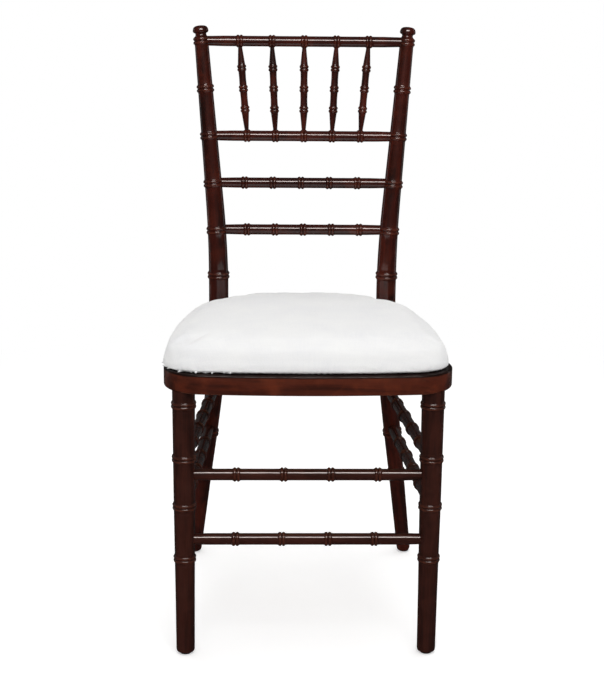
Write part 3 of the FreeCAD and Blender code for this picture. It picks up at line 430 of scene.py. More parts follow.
def turnedBarTree():
    tree = newTree(
        "turnedBar", "GeometryNodeTree",
        [
            ("Geometry", "Geometry"), ("Sides", "Int", 48), ("Bead Width", "Float", 0.0045),
            ("Bead Proud", "Float", 0.002), ("Bead Spacing", "Float", 0.005),
            ("Collar Rise", "Float", 0.0004), ("Collar Width", "Float", 0.0014),
            ("Finish", "Material"),
        ],
        [("Geometry", "Geometry")],
    )
    given = inside(tree)

    def named(name):
        node = put(tree, "GeometryNodeInputNamedAttribute", data_type="FLOAT")
        return feedNamed(tree, node, Name=name)["Attribute"]

    away = maths(tree, "ABSOLUTE", named("ringOffset"))
    halfStep = times(tree, given["Bead Spacing"], 0.5)
    halfBead = times(tree, given["Bead Width"], 0.5)
    share = maths(tree, "DIVIDE", maths(tree, "SUBTRACT", away, halfStep), halfBead)
    rest = maths(tree, "SUBTRACT", 1.0, times(tree, share, share))
    crest = maths(tree, "SQRT", maths(tree, "MAXIMUM", rest, 0.0))
    bead = times(tree, crest, given["Bead Proud"])
    reach = maths(tree, "ADD", halfStep, halfBead)
    beyond = maths(tree, "DIVIDE", maths(tree, "SUBTRACT", away, reach), given["Collar Width"])
    fall = maths(tree, "SUBTRACT", 1.0, beyond, clamp=True)
    collar = times(tree, fall, given["Collar Rise"])
    radius = maths(tree, "ADD", named("girth"), maths(tree, "MAXIMUM", bead, collar))
    marked = put(tree, "GeometryNodeStoreNamedAttribute", data_type="FLOAT", domain="POINT")
    circle = put(tree, "GeometryNodeCurvePrimitiveCircle", mode="RADIUS")
    curve = made(tree, "GeometryNodeMeshToCurve", Mesh=given["Geometry"])
    curve = feedNamed(tree, marked, Geometry=curve, Name="crest", Value=crest)[0]
    profile = feedNamed(tree, circle, Radius=1.0, Resolution=given["Sides"])[0]
    shape = made(
        tree, "GeometryNodeCurveToMesh", Curve=curve, Profile_Curve=profile, Scale=radius,
        Fill_Caps=True,
    )
    shape = made(tree, "GeometryNodeSetShadeSmooth", Geometry=shape)
    shape = made(tree, "GeometryNodeRealizeInstances", Geometry=shape)
    shape = made(tree, "GeometryNodeSetMaterial", Geometry=shape, Material=given["Finish"])
    giveOut(tree, Geometry=shape)
    return tree


barTree = turnedBarTree()
barInputs = {
    item.name: item.identifier
    for item in barTree.interface.items_tree
    if item.item_type == "SOCKET" and item.in_out == "INPUT"
}


def plainMesh(holder):
    # the evaluated object as a mesh of its own
    graph = bpy.context.evaluated_depsgraph_get()
    graph.update()
    return bpy.data.meshes.new_from_object(holder.evaluated_get(graph), depsgraph=graph)


def modified(mesh, kind, **values):
    holder = linked("shape_holder", mesh)
    setAll(holder.modifiers.new(kind.lower(), kind), values)
    result = plainMesh(holder)
    bpy.data.objects.remove(holder)
    return result


def outward(mesh):
    work = bmesh.new()
    work.from_mesh(mesh)
    bmesh.ops.remove_doubles(work, verts=work.verts, dist=1e-6)
    written(work, mesh)


def dressed(mesh, material):
    mesh.materials.clear()
    mesh.materials.append(material)
    for polygon in mesh.polygons:
        polygon.use_smooth = True


def addPiece(name, mesh, body, slot, *nodes):
    piece = linked(name, mesh)
    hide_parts(*nodes)
    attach(piece, body)
    return piece


def grainSeed(name):
    # the same name always gives the same shift, so that no two pieces share one figure
    total = sum((index + 1) * ord(letter) for index, letter in enumerate(name))
    return (total % 97) * 0.37


def storeGrain(mesh, name, toLocal):
    shift = grainSeed(name)
    values = []
    for vertex in mesh.vertices:
        across, deep, along = toLocal(vertex.co)
        values.extend((across + shift, deep - shift * 0.5, along + shift * 0.7))
    store(mesh, "grain", "FLOAT_VECTOR", values)


beadSteps = 10


def ringSteps(beads):
    # distances from a ring pair's middle where the line needs a point
    halfStep = beads["spacing"] / 2
    halfBead = beads["width"] / 2
    steps = [0.0] if halfBead > halfStep else []
    first = -math.asin(halfStep / halfBead) if halfBead > halfStep else -math.pi / 2
    for index in range(beadSteps + 1):
        turn = first + (math.pi / 2 - first) * index / beadSteps
        steps.append(halfStep + halfBead * math.sin(turn))
    reach = halfStep + halfBead
    steps += [reach + beads["collar"] * 0.3, reach + beads["collar"]]
    return sorted(set(round(value, 7) for value in steps + [-value for value in steps]))


def lineStations(length, rings, beads, plain, step):
    # places along a bar: close together in the ring pairs, wide apart between them
    places = list(plain)
    reach = (beads["spacing"] + beads["width"]) / 2 + beads["collar"]
    for ring in rings:
        places += [ring + value for value in ringSteps(beads)]
    run = 0.0
    while run < length:
        if all(abs(run - ring) > reach for ring in rings):
            places.append(run)
        run += step
    places = sorted(place for place in places if 0.0 <= place <= length)
    kept = [places[0]]
    for place in places[1:]:
        if place - kept[-1] > 4e-6:
            kept.append(place)
    return kept


def turnBar(node, bar, pointAt, places, girths, rings, toLocal):
    name = "turned_" + node
    beads = bar["beads"]
    points = [pointAt(place) for place in places]
    mesh = bpy.data.meshes.new(name + "_line")
    mesh.from_pydata(points, [(index, index + 1) for index in range(len(points) - 1)], [])
    store(mesh, "girth", "FLOAT", [between(girths, place) for place in places])
    nearest = [min((place - ring for ring in rings), key=abs) for place in places]
    store(mesh, "ringOffset", "FLOAT", nearest)
    holder = linked(name + "_line", mesh)
    turning = holder.modifiers.new("turning", "NODES")
    turning.node_group = barTree
    values = {
        "Sides": bar["sides"], "Bead Width": beads["width"], "Bead Proud": beads["proud"],
        "Bead Spacing": beads["spacing"], "Collar Rise": beads["collarRise"],
        "Collar Width": beads["collar"], "Finish": bar["wood"],
    }
    for key, value in values.items():
        turning[barInputs[key]] = value
    baked = plainMesh(holder)
    bpy.data.objects.remove(holder)
    outward(baked)
    baked.name = name
    storeGrain(baked, name, toLocal)
    addPiece(name, baked, "chair", "stained_hardwood", node)


def turnUpright(node, bar, pointAt):
    # a post or a leg, whose places are heights over the floor
    girths = bar["girth"]
    bottom, top = girths[0][0], girths[-1][0]
    plain = [height for height, radius in girths]
    places = lineStations(top, bar["rings"], bar["beads"], plain, bar["step"])
    places = [place for place in places if place >= bottom]

    def toLocal(at):
        axis = pointAt(at.z)
        return at.x - axis.x, at.y - axis.y, at.z

    turnBar(node, bar, pointAt, places, girths, bar["rings"], toLocal)


def between(table, place):
    # straight interpolation in a table of (place, value)
    if place <= table[0][0]:
        return table[0][1]
    for (low, lowValue), (high, highValue) in zip(table, table[1:]):
        if place <= high:
            return lowValue + (highValue - lowValue) * (place - low) / (high - low)
    return table[-1][1]


# Back posts: bent in one upright plane, foot to finial

backPost = {
    "footOut": 0.185, "footBack": 0.2244, "bendOut": 0.131, "bendHeight": 0.4485,
    "bendTurn": math.radians(47.7), "bendRadius": 1.2, "crestOut": 0.1675, "crestHeight": 0.8885,
    "step": 0.014, "sides": 56, "wood": turnedWood,
    "rings": [0.15289, 0.22852, 0.35182, 0.5065, 0.58137, 0.65854, 0.73608, 0.8121, 0.8885],
    "beads": dict(width=0.0054, proud=0.0021, spacing=0.0062, collar=0.0016, collarRise=0.0004),
    "girth": [
        (0.003, 0.0094), (0.0038, 0.0105), (0.005, 0.0112), (0.0075, 0.0116), (0.08, 0.0124),
        (0.15289, 0.0131), (0.22852, 0.0145), (0.35182, 0.0154), (0.47, 0.0162), (0.5065, 0.0162),
        (0.65854, 0.0142), (0.8121, 0.0122), (0.8885, 0.0113), (0.8947, 0.011), (0.8958, 0.0099),
        (0.8971, 0.0091), (0.8992, 0.0088), (0.9005, 0.0093), (0.9012, 0.0106), (0.9018, 0.0117),
        (0.9026, 0.01245), (0.9038, 0.0128), (0.9052, 0.01275), (0.907, 0.0124), (0.9088, 0.01175),
        (0.9103, 0.0107), (0.9115, 0.0091), (0.9123, 0.0068), (0.9128, 0.004), (0.913, 0.001),
    ],
}


def postMaths():
    size = backPost
    turn = size["bendTurn"]
    footReach = (size["footOut"] - size["bendOut"]) / math.cos(turn)
    crestReach = (size["crestOut"] - size["bendOut"]) / math.cos(turn)
    legLean = math.atan2(footReach, size["bendHeight"])
    backLean = math.atan2(crestReach, size["crestHeight"] - size["bendHeight"])
    tangent = size["bendRadius"] * math.tan((legLean + backLean) / 2)
    start = size["bendHeight"] - tangent * math.cos(legLean)
    end = size["bendHeight"] + tangent * math.cos(backLean)
    centreReach = tangent * math.sin(legLean) + size["bendRadius"] * math.cos(legLean)
    centreHeight = start + size["bendRadius"] * math.sin(legLean)
    bendBack = size["footBack"] - footReach * math.sin(turn)

    def pointAt(side, height):
        if height <= start:
            reach = (size["bendHeight"] - height) * math.tan(legLean)
        elif height >= end:
            reach = (height - size["bendHeight"]) * math.tan(backLean)
        else:
            rise = height - centreHeight
            reach = centreReach - math.sqrt(size["bendRadius"] ** 2 - rise ** 2)
        out = size["bendOut"] + reach * math.cos(turn)
        return Vector((side * out, bendBack + reach * math.sin(turn), height))

    return pointAt


postPoint = postMaths()
sides = {"left": -1, "right": 1}

for sideName, side in sides.items():
    turnUpright("back_post_" + sideName, backPost, partial(postPoint, side))
print("back posts turned")


# Front legs

frontLeg = {
    "out": 0.182, "forward": 0.2, "step": 0.016, "sides": 56, "wood": legWoodPaintedLight,
    "rings": [0.15207, 0.23386, 0.30784, 0.38963],
    "beads": dict(width=0.005, proud=0.0019, spacing=0.0054, collar=0.0016, collarRise=0.0003),
    "girth": [
        (0.003, 0.0112), (0.0037, 0.0126), (0.005, 0.0135), (0.0072, 0.0139), (0.1, 0.0145),
        (0.19, 0.0154), (0.25, 0.016), (0.4125, 0.01675),
    ],
}


def legPoint(side, height):
    return Vector((side * frontLeg["out"], -frontLeg["forward"], height))


for sideName, side in sides.items():
    turnUpright("front_leg_" + sideName, frontLeg, partial(legPoint, side))
print("front legs turned")


# Bars between two axes: rails, spindles and stretchers

def straightBar(node, bar, start, end, places, ringStep, shift=0.0):
    run = (end - start).normalized()
    origin = start + run * bar["stop"]
    length = (end - start).length - 2 * bar["stop"]
    across = run.cross(Vector((0, 0, 1)) if abs(run.z) < 0.9 else Vector((1, 0, 0))).normalized()
    deep = run.cross(across)
    rings = [length / 2 + (place * ringStep + shift) for place in places]
    girths = bar["girth"](length)
    plain = [place for place, radius in girths]
    stations = lineStations(length, rings, bar["beads"], plain, bar["step"])

    def toLocal(at):
        off = at - origin
        return off.dot(across), off.dot(deep), off.dot(run)

    turnBar(node, bar, lambda place: origin + run * place, stations, girths, rings, toLocal)


def taperedEnds(body, end, taper):
    return lambda length: [(0.0, end), (taper, body), (length - taper, body), (length, end)]


backRail = {
    "stop": 0.002, "step": 0.02, "sides": 44, "wood": turnedWood,
    "beads": dict(width=0.0046, proud=0.0018, spacing=0.0054, collar=0.0014, collarRise=0.0003),
    "girth": taperedEnds(0.0085, 0.0077, 0.036),
    "rows": {
        "crest_rail": (0.8885, 0.0527, 0.0), "spindle_rail": (0.73608, 0.0464, 0.0),
        "upper_back_rail": (0.6597, 0.0464, -0.004), "lower_back_rail": (0.5827, 0.0464, 0.0),
    },
}
fivePlaces = (-2, -1, 0, 1, 2)
for railName, (height, ringStep, shift) in backRail["rows"].items():
    ends = postPoint(-1, height), postPoint(1, height)
    straightBar(railName, backRail, *ends, fivePlaces, ringStep, shift)
print("back rails turned")

spindle = {
    "stop": 0.0035, "step": 0.012, "sides": 36, "ringStep": 0.0333, "wood": turnedWood,
    "thinEnd": 0.0045, "ringRoom": 0.0055,
    "beads": dict(width=0.0046, proud=0.0015, spacing=0.0052, collar=0.0012, collarRise=0.0002),
    "thin": 0.0031, "full": 0.006, "waist": 0.0056,
}


def spindleGirth(length):
    half, ring, thin, full = length / 2, spindle["ringStep"], spindle["thin"], spindle["full"]
    coneEnd = half - ring - spindle["ringRoom"]
    return [
        (0.0, thin), (spindle["thinEnd"], thin), (coneEnd, full), (half - ring, full),
        (half - ring / 2, spindle["waist"]), (half, full), (half + ring / 2, spindle["waist"]),
        (half + ring, full), (length - coneEnd, full), (length - spindle["thinEnd"], thin),
        (length, thin),
    ]


spindle["girth"] = spindleGirth
for number, place in enumerate(fivePlaces, 1):
    crestHeight, crestStep = backRail["rows"]["crest_rail"][:2]
    railHeight, railStep = backRail["rows"]["spindle_rail"][:2]
    top = Vector((place * crestStep, postPoint(1, crestHeight).y, crestHeight))
    low = Vector((place * railStep, postPoint(1, railHeight).y, railHeight))
    straightBar("spindle_%d" % number, spindle, low, top, (-1, 0, 1), spindle["ringStep"])
print("spindles turned")

stretcher = {
    "stop": 0.003, "step": 0.02, "sides": 44, "wood": legWoodPaintedLight,
    "beads": dict(width=0.0048, proud=0.002, spacing=0.0054, collar=0.0015, collarRise=0.0003),
    "girth": taperedEnds(0.00865, 0.0079, 0.032),
    "front": {"upper": (0.28236, 0.0695, -0.0008), "lower": (0.18166, 0.0688, -0.0035)},
    "side": {"upper": (0.30496, 0.07), "lower": (0.23715, 0.07)},
    "rear": (0.33003, 0.062),
}
fourPlaces = (-1.5, -0.5, 0.5, 1.5)
for level, (height, ringStep, shift) in stretcher["front"].items():
    ends = legPoint(-1, height), legPoint(1, height)
    straightBar("front_stretcher_" + level, stretcher, *ends, fourPlaces, ringStep, shift)
for sideName, side in sides.items():
    for level, (height, ringStep) in stretcher["side"].items():
        ends = legPoint(side, height), postPoint(side, height)
        name = "side_stretcher_%s_%s" % (sideName, level)
        straightBar(name, stretcher, *ends, fourPlaces, ringStep)
rearHeight, rearStep = stretcher["rear"]
ends = postPoint(-1, rearHeight), postPoint(1, rearHeight)
straightBar("rear_stretcher", stretcher, *ends, fourPlaces, rearStep)
print("stretchers turned")


# Seat frame: the bowed front rail with its two corners, side rails and rear rail

seatFrame = {
    "bottom": 0.411, "deep": 0.0295, "half": 0.2123, "front": 0.235, "bow": 1.66, "corner": 0.06,
    "rearOut": 0.0093, "rearFore": 0.0112, "frontWide": 0.056, "sideWide": 0.04,
    "rearThick": 0.021, "round": 0.0042, "topRound": 0.0024,
    "panelThick": 0.009, "panelSeat": 0.01, "cornerSteps": 28, "bowSteps": 36,
    "jointGap": 0.0001, "onEdge": 0.0002, "nearEdge": 0.0046,
}


def framePlan():
    size = seatFrame
    cornerOut = size["half"] - size["corner"]
    bowCentre = Vector((0, size["bow"] - size["front"]))
    forward = math.sqrt((size["bow"] - size["corner"]) ** 2 - cornerOut ** 2) - bowCentre.y
    centre = Vector((cornerOut, -forward))
    bowNormal = (centre - bowCentre).normalized()
    post = postPoint(1, size["bottom"] + size["deep"] / 2)
    rear = Vector((post.x + size["rearOut"], post.y - size["rearFore"]))
    off = rear - centre
    sideTurn = math.atan2(off.y, off.x) - math.acos(size["corner"] / off.length)
    normal = Vector((math.cos(sideTurn), math.sin(sideTurn)))
    run = Vector((-math.sin(sideTurn), math.cos(sideTurn)))
    start = centre + normal * size["corner"]
    return {
        "bowCentre": bowCentre, "centre": centre, "bowTurn": math.atan2(bowNormal.y, bowNormal.x),
        "sideTurn": sideTurn, "normal": normal, "run": run, "start": start,
        "startInner": start - normal * size["sideWide"], "rear": rear, "post": post,
    }


plan = framePlan()


def onSide(start, back):
    return start + plan["run"] * ((back - start.y) / plan["run"].y)


def arcPoints(centre, radius, start, end, steps):
    turns = [start + (end - start) * index / steps for index in range(steps + 1)]
    return [centre + Vector((math.cos(turn), math.sin(turn))) * radius for turn in turns]


def flipped(point):
    return Vector((-point.x, point.y))


def slab(outline, low, high):
    work = bmesh.new()
    base = [work.verts.new((point.x, point.y, low)) for point in outline]
    face = work.faces.new(base)
    raised = bmesh.ops.extrude_face_region(work, geom=[face])["geom"]
    tops = [item for item in raised if isinstance(item, bmesh.types.BMVert)]
    bmesh.ops.translate(work, verts=tops, vec=(0, 0, high - low))
    bmesh.ops.recalc_face_normals(work, faces=work.faces)
    return work


def softenedSlab(name, outline, outside):
    # a rail's board: a fuller round under its outer edge than over it
    size = seatFrame
    low, high = size["bottom"], size["bottom"] + size["deep"]
    work = slab(outline, low, high)
    for level, radius, steps in ((low, size["round"], 6), (high, size["topRound"], 4)):
        edges = [
            edge for edge in work.edges
            if all(
                abs(vert.co.z - level) < 1e-7 and outside(vert.co, size["onEdge"])
                for vert in edge.verts
            )
        ]
        bmesh.ops.bevel(
            work, geom=edges, offset=radius, offset_type="OFFSET", segments=steps,
            profile=0.5, affect="EDGES", clamp_overlap=True,
        )
    return written(work, bpy.data.meshes.new(name))


def panelOutline(reach):
    inner = plan["startInner"] + plan["normal"] * reach
    front = onSide(inner, seatFrame["frontWide"] - seatFrame["front"] - reach)
    rear = onSide(inner, plan["rear"].y + seatFrame["jointGap"] + reach)
    return [flipped(front), front, rear, flipped(rear)]


def rebated(mesh):
    # the rail less the rebate that holds the seat panel
    top = seatFrame["bottom"] + seatFrame["deep"]
    outline = panelOutline(seatFrame["panelSeat"])
    work = slab(outline, top - seatFrame["panelThick"], top + seatFrame["deep"])
    tool = linked("rebate_tool", written(work, bpy.data.meshes.new("rebate_tool")))
    result = modified(mesh, "BOOLEAN", operation="DIFFERENCE", solver="EXACT", object=tool)
    bpy.data.objects.remove(tool)
    return result


def markCrest(mesh, outside):
    # how near a point lies to the rail's two outer arrises, 0 to 1
    size = seatFrame
    values = []
    for vertex in mesh.vertices:
        height = vertex.co.z - size["bottom"]
        edge = min(height, size["deep"] - height)
        near = max(0.0, 1.0 - abs(edge - 0.0012) / 0.003)
        values.append(near if outside(vertex.co, size["nearEdge"]) else 0.0)
    store(mesh, "crest", "FLOAT", values)


def makeRail(node, outline, outside, toLocal):
    name = "shaped_" + node
    mesh = rebated(softenedSlab(name, outline, outside))
    outward(mesh)
    dressed(mesh, apronWoodPaintedLight)
    mesh.set_sharp_from_angle(angle=math.radians(32))
    markCrest(mesh, outside)
    storeGrain(mesh, name, toLocal)
    addPiece(name, mesh, "chair", "stained_hardwood", node)


def frontOutside(at, reach):
    flat = Vector((abs(at.x), at.y))
    bow = abs((Vector((at.x, at.y)) - plan["bowCentre"]).length - seatFrame["bow"]) < reach
    corner = abs((flat - plan["centre"]).length - seatFrame["corner"]) < reach
    meet = plan["centre"].x
    return (bow and flat.x <= meet + 0.01) or (corner and flat.x > meet - 0.01)


def frontRail():
    size = seatFrame
    frontInner = onSide(plan["startInner"], size["frontWide"] - size["front"])
    half = math.pi / 2 + plan["bowTurn"]
    bow = arcPoints(
        plan["bowCentre"], size["bow"], -math.pi / 2 - half, -math.pi / 2 + half, size["bowSteps"],
    )
    corner = arcPoints(
        plan["centre"], size["corner"], plan["bowTurn"], plan["sideTurn"], size["cornerSteps"],
    )[1:]
    outline = [flipped(point) for point in reversed(corner)] + bow + corner
    outline += [plan["startInner"], frontInner, flipped(frontInner), flipped(plan["startInner"])]
    makeRail("seat_front_rail", outline, frontOutside, lambda at: (at.y, at.z, at.x))


def sideRail(sideName, side):
    gap = plan["run"] * seatFrame["jointGap"]
    inner = plan["startInner"]
    corners = [plan["start"] + gap, plan["rear"], onSide(inner, plan["rear"].y), inner + gap]
    outline = [Vector((side * point.x, point.y)) for point in corners]
    run = Vector((side * plan["run"].x, plan["run"].y))

    def outside(at, reach):
        off = Vector((side * at.x, at.y)) - plan["start"]
        return abs(off.dot(plan["normal"])) < reach

    def toLocal(at):
        return at.x * run.y - at.y * run.x, at.z, at.x * run.x + at.y * run.y

    makeRail("seat_side_rail_" + sideName, outline, outside, toLocal)


def rearRail():
    out = plan["post"].x
    front = plan["rear"].y + seatFrame["jointGap"]
    back = front + seatFrame["rearThick"]
    inner, outer = Vector((out, front)), Vector((out, back))
    outline = [flipped(inner), inner, outer, flipped(outer)]
    makeRail(
        "seat_rear_rail", outline, lambda at, reach: abs(at.y - back) < reach,
        lambda at: (at.y, at.z, at.x),
    )


frontRail()
for sideName, side in sides.items():
    sideRail(sideName, side)
rearRail()
print("seat frame made")


# CAD nodes that stay: panel, corner blocks and glides get their finishes

def refinish(node, material):
    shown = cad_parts[node]
    if not shown.material_slots:
        shown.data.materials.append(material)
    for place in shown.material_slots:
        place.material = material


refinish("seat_panel", panelWood)
for end in ("front", "rear"):
    for sideName in sides:
        refinish("corner_block_%s_%s" % (end, sideName), blockWood)
        refinish("glide_%s_%s" % (end, sideName), glidePlastic)
print("panel, blocks and glides finished")


# Cushion: lofted on its plan, swollen as cloth, then gathered along its elastic hem

cushion = {
    "half": 0.2107, "front": 0.2267, "inRear": 0.0065, "bow": 1.5, "frontCorner": 0.0502,
    "rearCorner": 0.1427, "sideBow": 0.94, "bottom": 0.4408, "thick": 0.053, "asideX": -0.0031,
    "profile": [
        (0.0, 0.948), (0.04, 0.978), (0.11, 0.998), (0.2, 1.0), (0.32, 0.992), (0.45, 0.983),
        (0.58, 0.974), (0.7, 0.957), (0.8, 0.912), (0.9, 0.824), (0.96, 0.7), (1.0, 0.48),
    ],
    "shrink": 0.0035, "voxel": 0.005, "steps": 20, "cap": 0.0038,
    "cloth": dict(
        quality=5, mass=0.3, tension_stiffness=12, compression_stiffness=12,
        bending_stiffness=0.4, use_pressure=True, uniform_pressure_force=4.0,
    ),
    "gatherWave": 0.0075, "gatherDepth": 0.0016, "gatherHeight": 0.007, "fill": 0.85,
    "hemInset": 0.011, "hemBack": 0.008, "hemReach": 0.0145, "hemHigh": 0.006,
    "hemStep": 0.0011, "hemSpread": 14.0,
    "heldHigh": 0.003, "gatherFrom": 0.12, "easeFrom": 0.01, "ease": 0.0003,
    "hemSlack": [(-35, 1.0), (-60, 0.8), (46, 0.3), (66, 0.3), (150, 0.7), (-160, 0.5)],
}
cushion["rear"] = plan["rear"].y - cushion["inRear"]
cushion["middle"] = (cushion["rear"] - cushion["front"]) / 2


def cushionPlan():
    size = cushion
    bow, sideBow = size["bow"], size["sideBow"]
    front, rearRound = size["frontCorner"], size["rearCorner"]
    frontMiddle = Vector((0, bow - size["front"]))
    rearMiddle = Vector((0, size["rear"] - bow))
    cornerX = size["half"] - front
    cornerY = frontMiddle.y - math.sqrt((bow - front) ** 2 - cornerX ** 2)
    corner = Vector((cornerX, cornerY))
    sideMiddle = Vector((size["half"] - sideBow, cornerY))
    # the rear corner's centre, where its arc meets both the side's and the rear's
    reachSide, reachRear = sideBow - rearRound, bow - rearRound
    gap = rearMiddle - sideMiddle
    along = (reachSide ** 2 - reachRear ** 2 + gap.length ** 2) / (2 * gap.length)
    across = math.sqrt(reachSide ** 2 - along ** 2)
    unit = gap.normalized()
    crossing = Vector((-unit.y, unit.x))
    rear = sideMiddle + unit * along + crossing * across
    if rear.y < 0 or rear.x < 0:
        rear = sideMiddle + unit * along - crossing * across

    def bearing(vector):
        return math.atan2(vector.y, vector.x)

    arcs = [
        (frontMiddle, bow, -math.pi / 2, bearing(corner - frontMiddle), 22),
        (corner, front, bearing(corner - frontMiddle), 0.0, 18),
        (sideMiddle, sideBow, 0.0, bearing(rear - sideMiddle), 24),
        (rear, rearRound, bearing(rear - sideMiddle), bearing(rear - rearMiddle), 18),
        (rearMiddle, bow, bearing(rear - rearMiddle), math.pi / 2, 18),
    ]
    points = []
    for centre, radius, start, end, steps in arcs:
        points += arcPoints(centre, radius, start, end, steps)[:-1]
    points.append(Vector((0, size["rear"])))
    return points + [flipped(point) for point in reversed(points[1:-1])]


cushionOutline = cushionPlan()


def bridge(work, rings, nextRings):
    # four-sided faces from each ring of points to the next
    for low, high in zip(rings, nextRings):
        for index in range(len(low)):
            after = (index + 1) % len(low)
            work.faces.new((low[index], low[after], high[after], high[index]))


def cushionLoft():
    size = cushion
    halfDeep = (size["rear"] + size["front"]) / 2
    work = bmesh.new()
    rings = []
    for level, share in size["profile"]:
        scaleX = share * (size["half"] - size["shrink"]) / size["half"]
        scaleY = share * (halfDeep - size["shrink"]) / halfDeep
        height = size["bottom"] + (size["thick"] - size["shrink"] * 0.8) * level
        rings.append([
            work.verts.new((
                point.x * scaleX,
                size["middle"] + (point.y - size["middle"]) * scaleY,
                height,
            ))
            for point in cushionOutline
        ])
    bridge(work, rings, rings[1:])
    work.faces.new(list(reversed(rings[0])))
    work.faces.new(rings[-1])
    return written(work, bpy.data.meshes.new("seat_cushion"))


def swollen(mesh):
    # the cover under the foam's pressure, its flat underside held still
    size = cushion
    holder = linked("cushion_cloth", mesh)
    rest = [vertex.co.copy() for vertex in mesh.vertices]
    held = holder.vertex_groups.new(name="held")
    low = [index for index, at in enumerate(rest) if at.z < size["bottom"] + size["heldHigh"]]
    held.add(low, 1.0, "REPLACE")
    cloth = holder.modifiers.new("cover", "CLOTH")
    settings = setAll(cloth.settings, size["cloth"])
    settings.vertex_group_mass = held.name
    settings.effector_weights.gravity = 0
    cloth.point_cache.frame_start = 1
    cloth.point_cache.frame_end = size["steps"]
    for step in range(1, size["steps"] + 1):
        scene.frame_set(step)
    result = plainMesh(holder)
    for vertex, start in zip(result.vertices, rest):
        move = vertex.co - start
        if move.length > size["cap"]:
            vertex.co = start + move * (size["cap"] / move.length)
    bpy.data.objects.remove(holder)
    scene.frame_set(1)
    return result


def fitted(mesh):
    # the swollen cover drawn back to the planned width, depth and crown
    size = cushion
    goal = [
        (-size["half"], size["half"]), (-size["front"], size["rear"]),
        (size["bottom"], size["bottom"] + size["thick"]),
    ]
    for axis, (low, high) in enumerate(goal):
        places = [vertex.co[axis] for vertex in mesh.vertices]
        start, end = min(places), max(places)
        for vertex in mesh.vertices:
            vertex.co[axis] = low + (vertex.co[axis] - start) * (high - low) / (end - start)


def outlineRun():
    # running length along the cushion's outline, by bearing from its middle
    middle = Vector((0, cushion["middle"]))
    table = []
    run = 0.0
    last = cushionOutline[0]
    for point in cushionOutline:
        run += (point - last).length
        off = point - middle
        table.append((math.atan2(off.x, -off.y) % (2 * math.pi), run))
        last = point
    return sorted(table), run + (cushionOutline[0] - last).length


bearings, outlineLength = outlineRun()


def runAt(x, y):
    turn = math.atan2(x, -(y - cushion["middle"])) % (2 * math.pi)
    return between(bearings, turn)


def pleat(run):
    # irregular gathers: two waves whose strength wanders along the hem
    circle = 2 * math.pi * run / outlineLength
    seat = Vector((math.cos(circle) * 6, math.sin(circle) * 6, 0.3))
    strength = 0.45 + 0.9 * max(0.0, noise.noise(seat))
    count = round(outlineLength / cushion["gatherWave"])
    lean = 1.6 * noise.noise(seat * 2.1)
    small = 0.4 * math.sin(circle * (count * 2 + 7))
    return strength * (math.sin(circle * count + lean * 3) + small)


def gathered(mesh):
    size = cushion
    for vertex in mesh.vertices:
        at = vertex.co
        rise = at.z - size["bottom"]
        share = max(0.0, 1.0 - abs(rise - 0.001) / size["gatherHeight"])
        off = Vector((at.x, at.y - size["middle"], 0))
        if share > 0 and off.length > size["gatherFrom"]:
            at += off.normalized() * pleat(runAt(at.x, at.y)) * size["gatherDepth"] * share ** 1.5
        ease = noise.noise(Vector((at.x * 16, at.y * 16, at.z * 16 + 4.0)))
        if rise > size["easeFrom"]:
            at.z += size["ease"] * ease * min(1.0, (rise - size["easeFrom"]) / 0.02)


def slackAt(degrees):
    # how far the gathers stand out, by bearing from the front, -X negative
    total = 0.0
    for place, strength in cushion["hemSlack"]:
        gap = abs((degrees - place + 180) % 360 - 180)
        total += strength * math.exp(-(gap / cushion["hemSpread"]) ** 2)
    return min(total, 1.0)


def hemSamples():
    # evenly spaced points round the cushion's underside with the way outwards
    size = cushion
    points = []
    for start, end in zip(cushionOutline, cushionOutline[1:] + cushionOutline[:1]):
        count = max(1, round((end - start).length / size["hemStep"]))
        points += [start + (end - start) * index / count for index in range(count)]
    middle = Vector((0, size["middle"]))
    found = []
    for index, point in enumerate(points):
        before, after = points[index - 8], points[(index + 8) % len(points)]
        way = Vector((after.y - before.y, before.x - after.x)).normalized()
        if way.dot(point - middle) < 0:
            way = -way
        found.append((point - way * size["hemInset"], way, point))
    return found


def addHem(mesh):
    # the elastic hem: a thin gathered band under the roll, lying on the frame
    size = cushion
    work = bmesh.new()
    work.from_mesh(mesh)
    samples = hemSamples()
    rings = []
    for index, (base, way, point) in enumerate(samples):
        bearing = math.degrees(math.atan2(point.x, -(point.y - size["middle"])))
        run = index * size["hemStep"]
        fine = noise.noise(Vector((run * 430, 9.1, 0)))
        ripple = noise.noise(Vector((run * 190, 3.7, 0))) + 0.6 * fine
        slack = slackAt(bearing)
        reach = size["hemReach"] * slack * (0.55 + 0.75 * ripple)
        lift = 0.0007 * slack * max(0.0, noise.noise(Vector((run * 260, 5.5, 1.0)))) * 3
        low = size["bottom"] + 0.00015
        back = size["hemBack"] * (1.0 - slack)
        loop = [
            (-0.004, size["hemHigh"]), (-0.0025 + reach * 0.3, size["hemHigh"]),
            (reach * 0.75, 0.0026 + lift), (reach + 0.0006, 0.0012 + lift), (reach, 0.0003 + lift),
            (reach * 0.6 - 0.0012, 0.0004), (-0.0042, 0.0002),
        ]
        ring = []
        for out, rise in loop:
            place = base + way * (out - back)
            ring.append(work.verts.new((place.x, place.y, low + rise)))
        rings.append(ring)
    bridge(work, rings, rings[1:] + rings[:1])
    written(work, mesh)


def storeCloth(mesh):
    # the weave's own coordinates: over the crown in plan, and on down the sides
    size = cushion
    values = []
    top = size["bottom"] + size["thick"]
    for vertex in mesh.vertices:
        at = vertex.co
        off = Vector((at.x / size["half"], (at.y - size["middle"]) / size["half"]))
        pull = min(1.0, off.length) ** 2
        way = off.normalized() if off.length > 1e-6 else off
        drop = (top - at.z) * pull
        values.extend((at.x + way.x * drop, at.y + way.y * drop, 0.0))
    store(mesh, "cloth", "FLOAT_VECTOR", values)


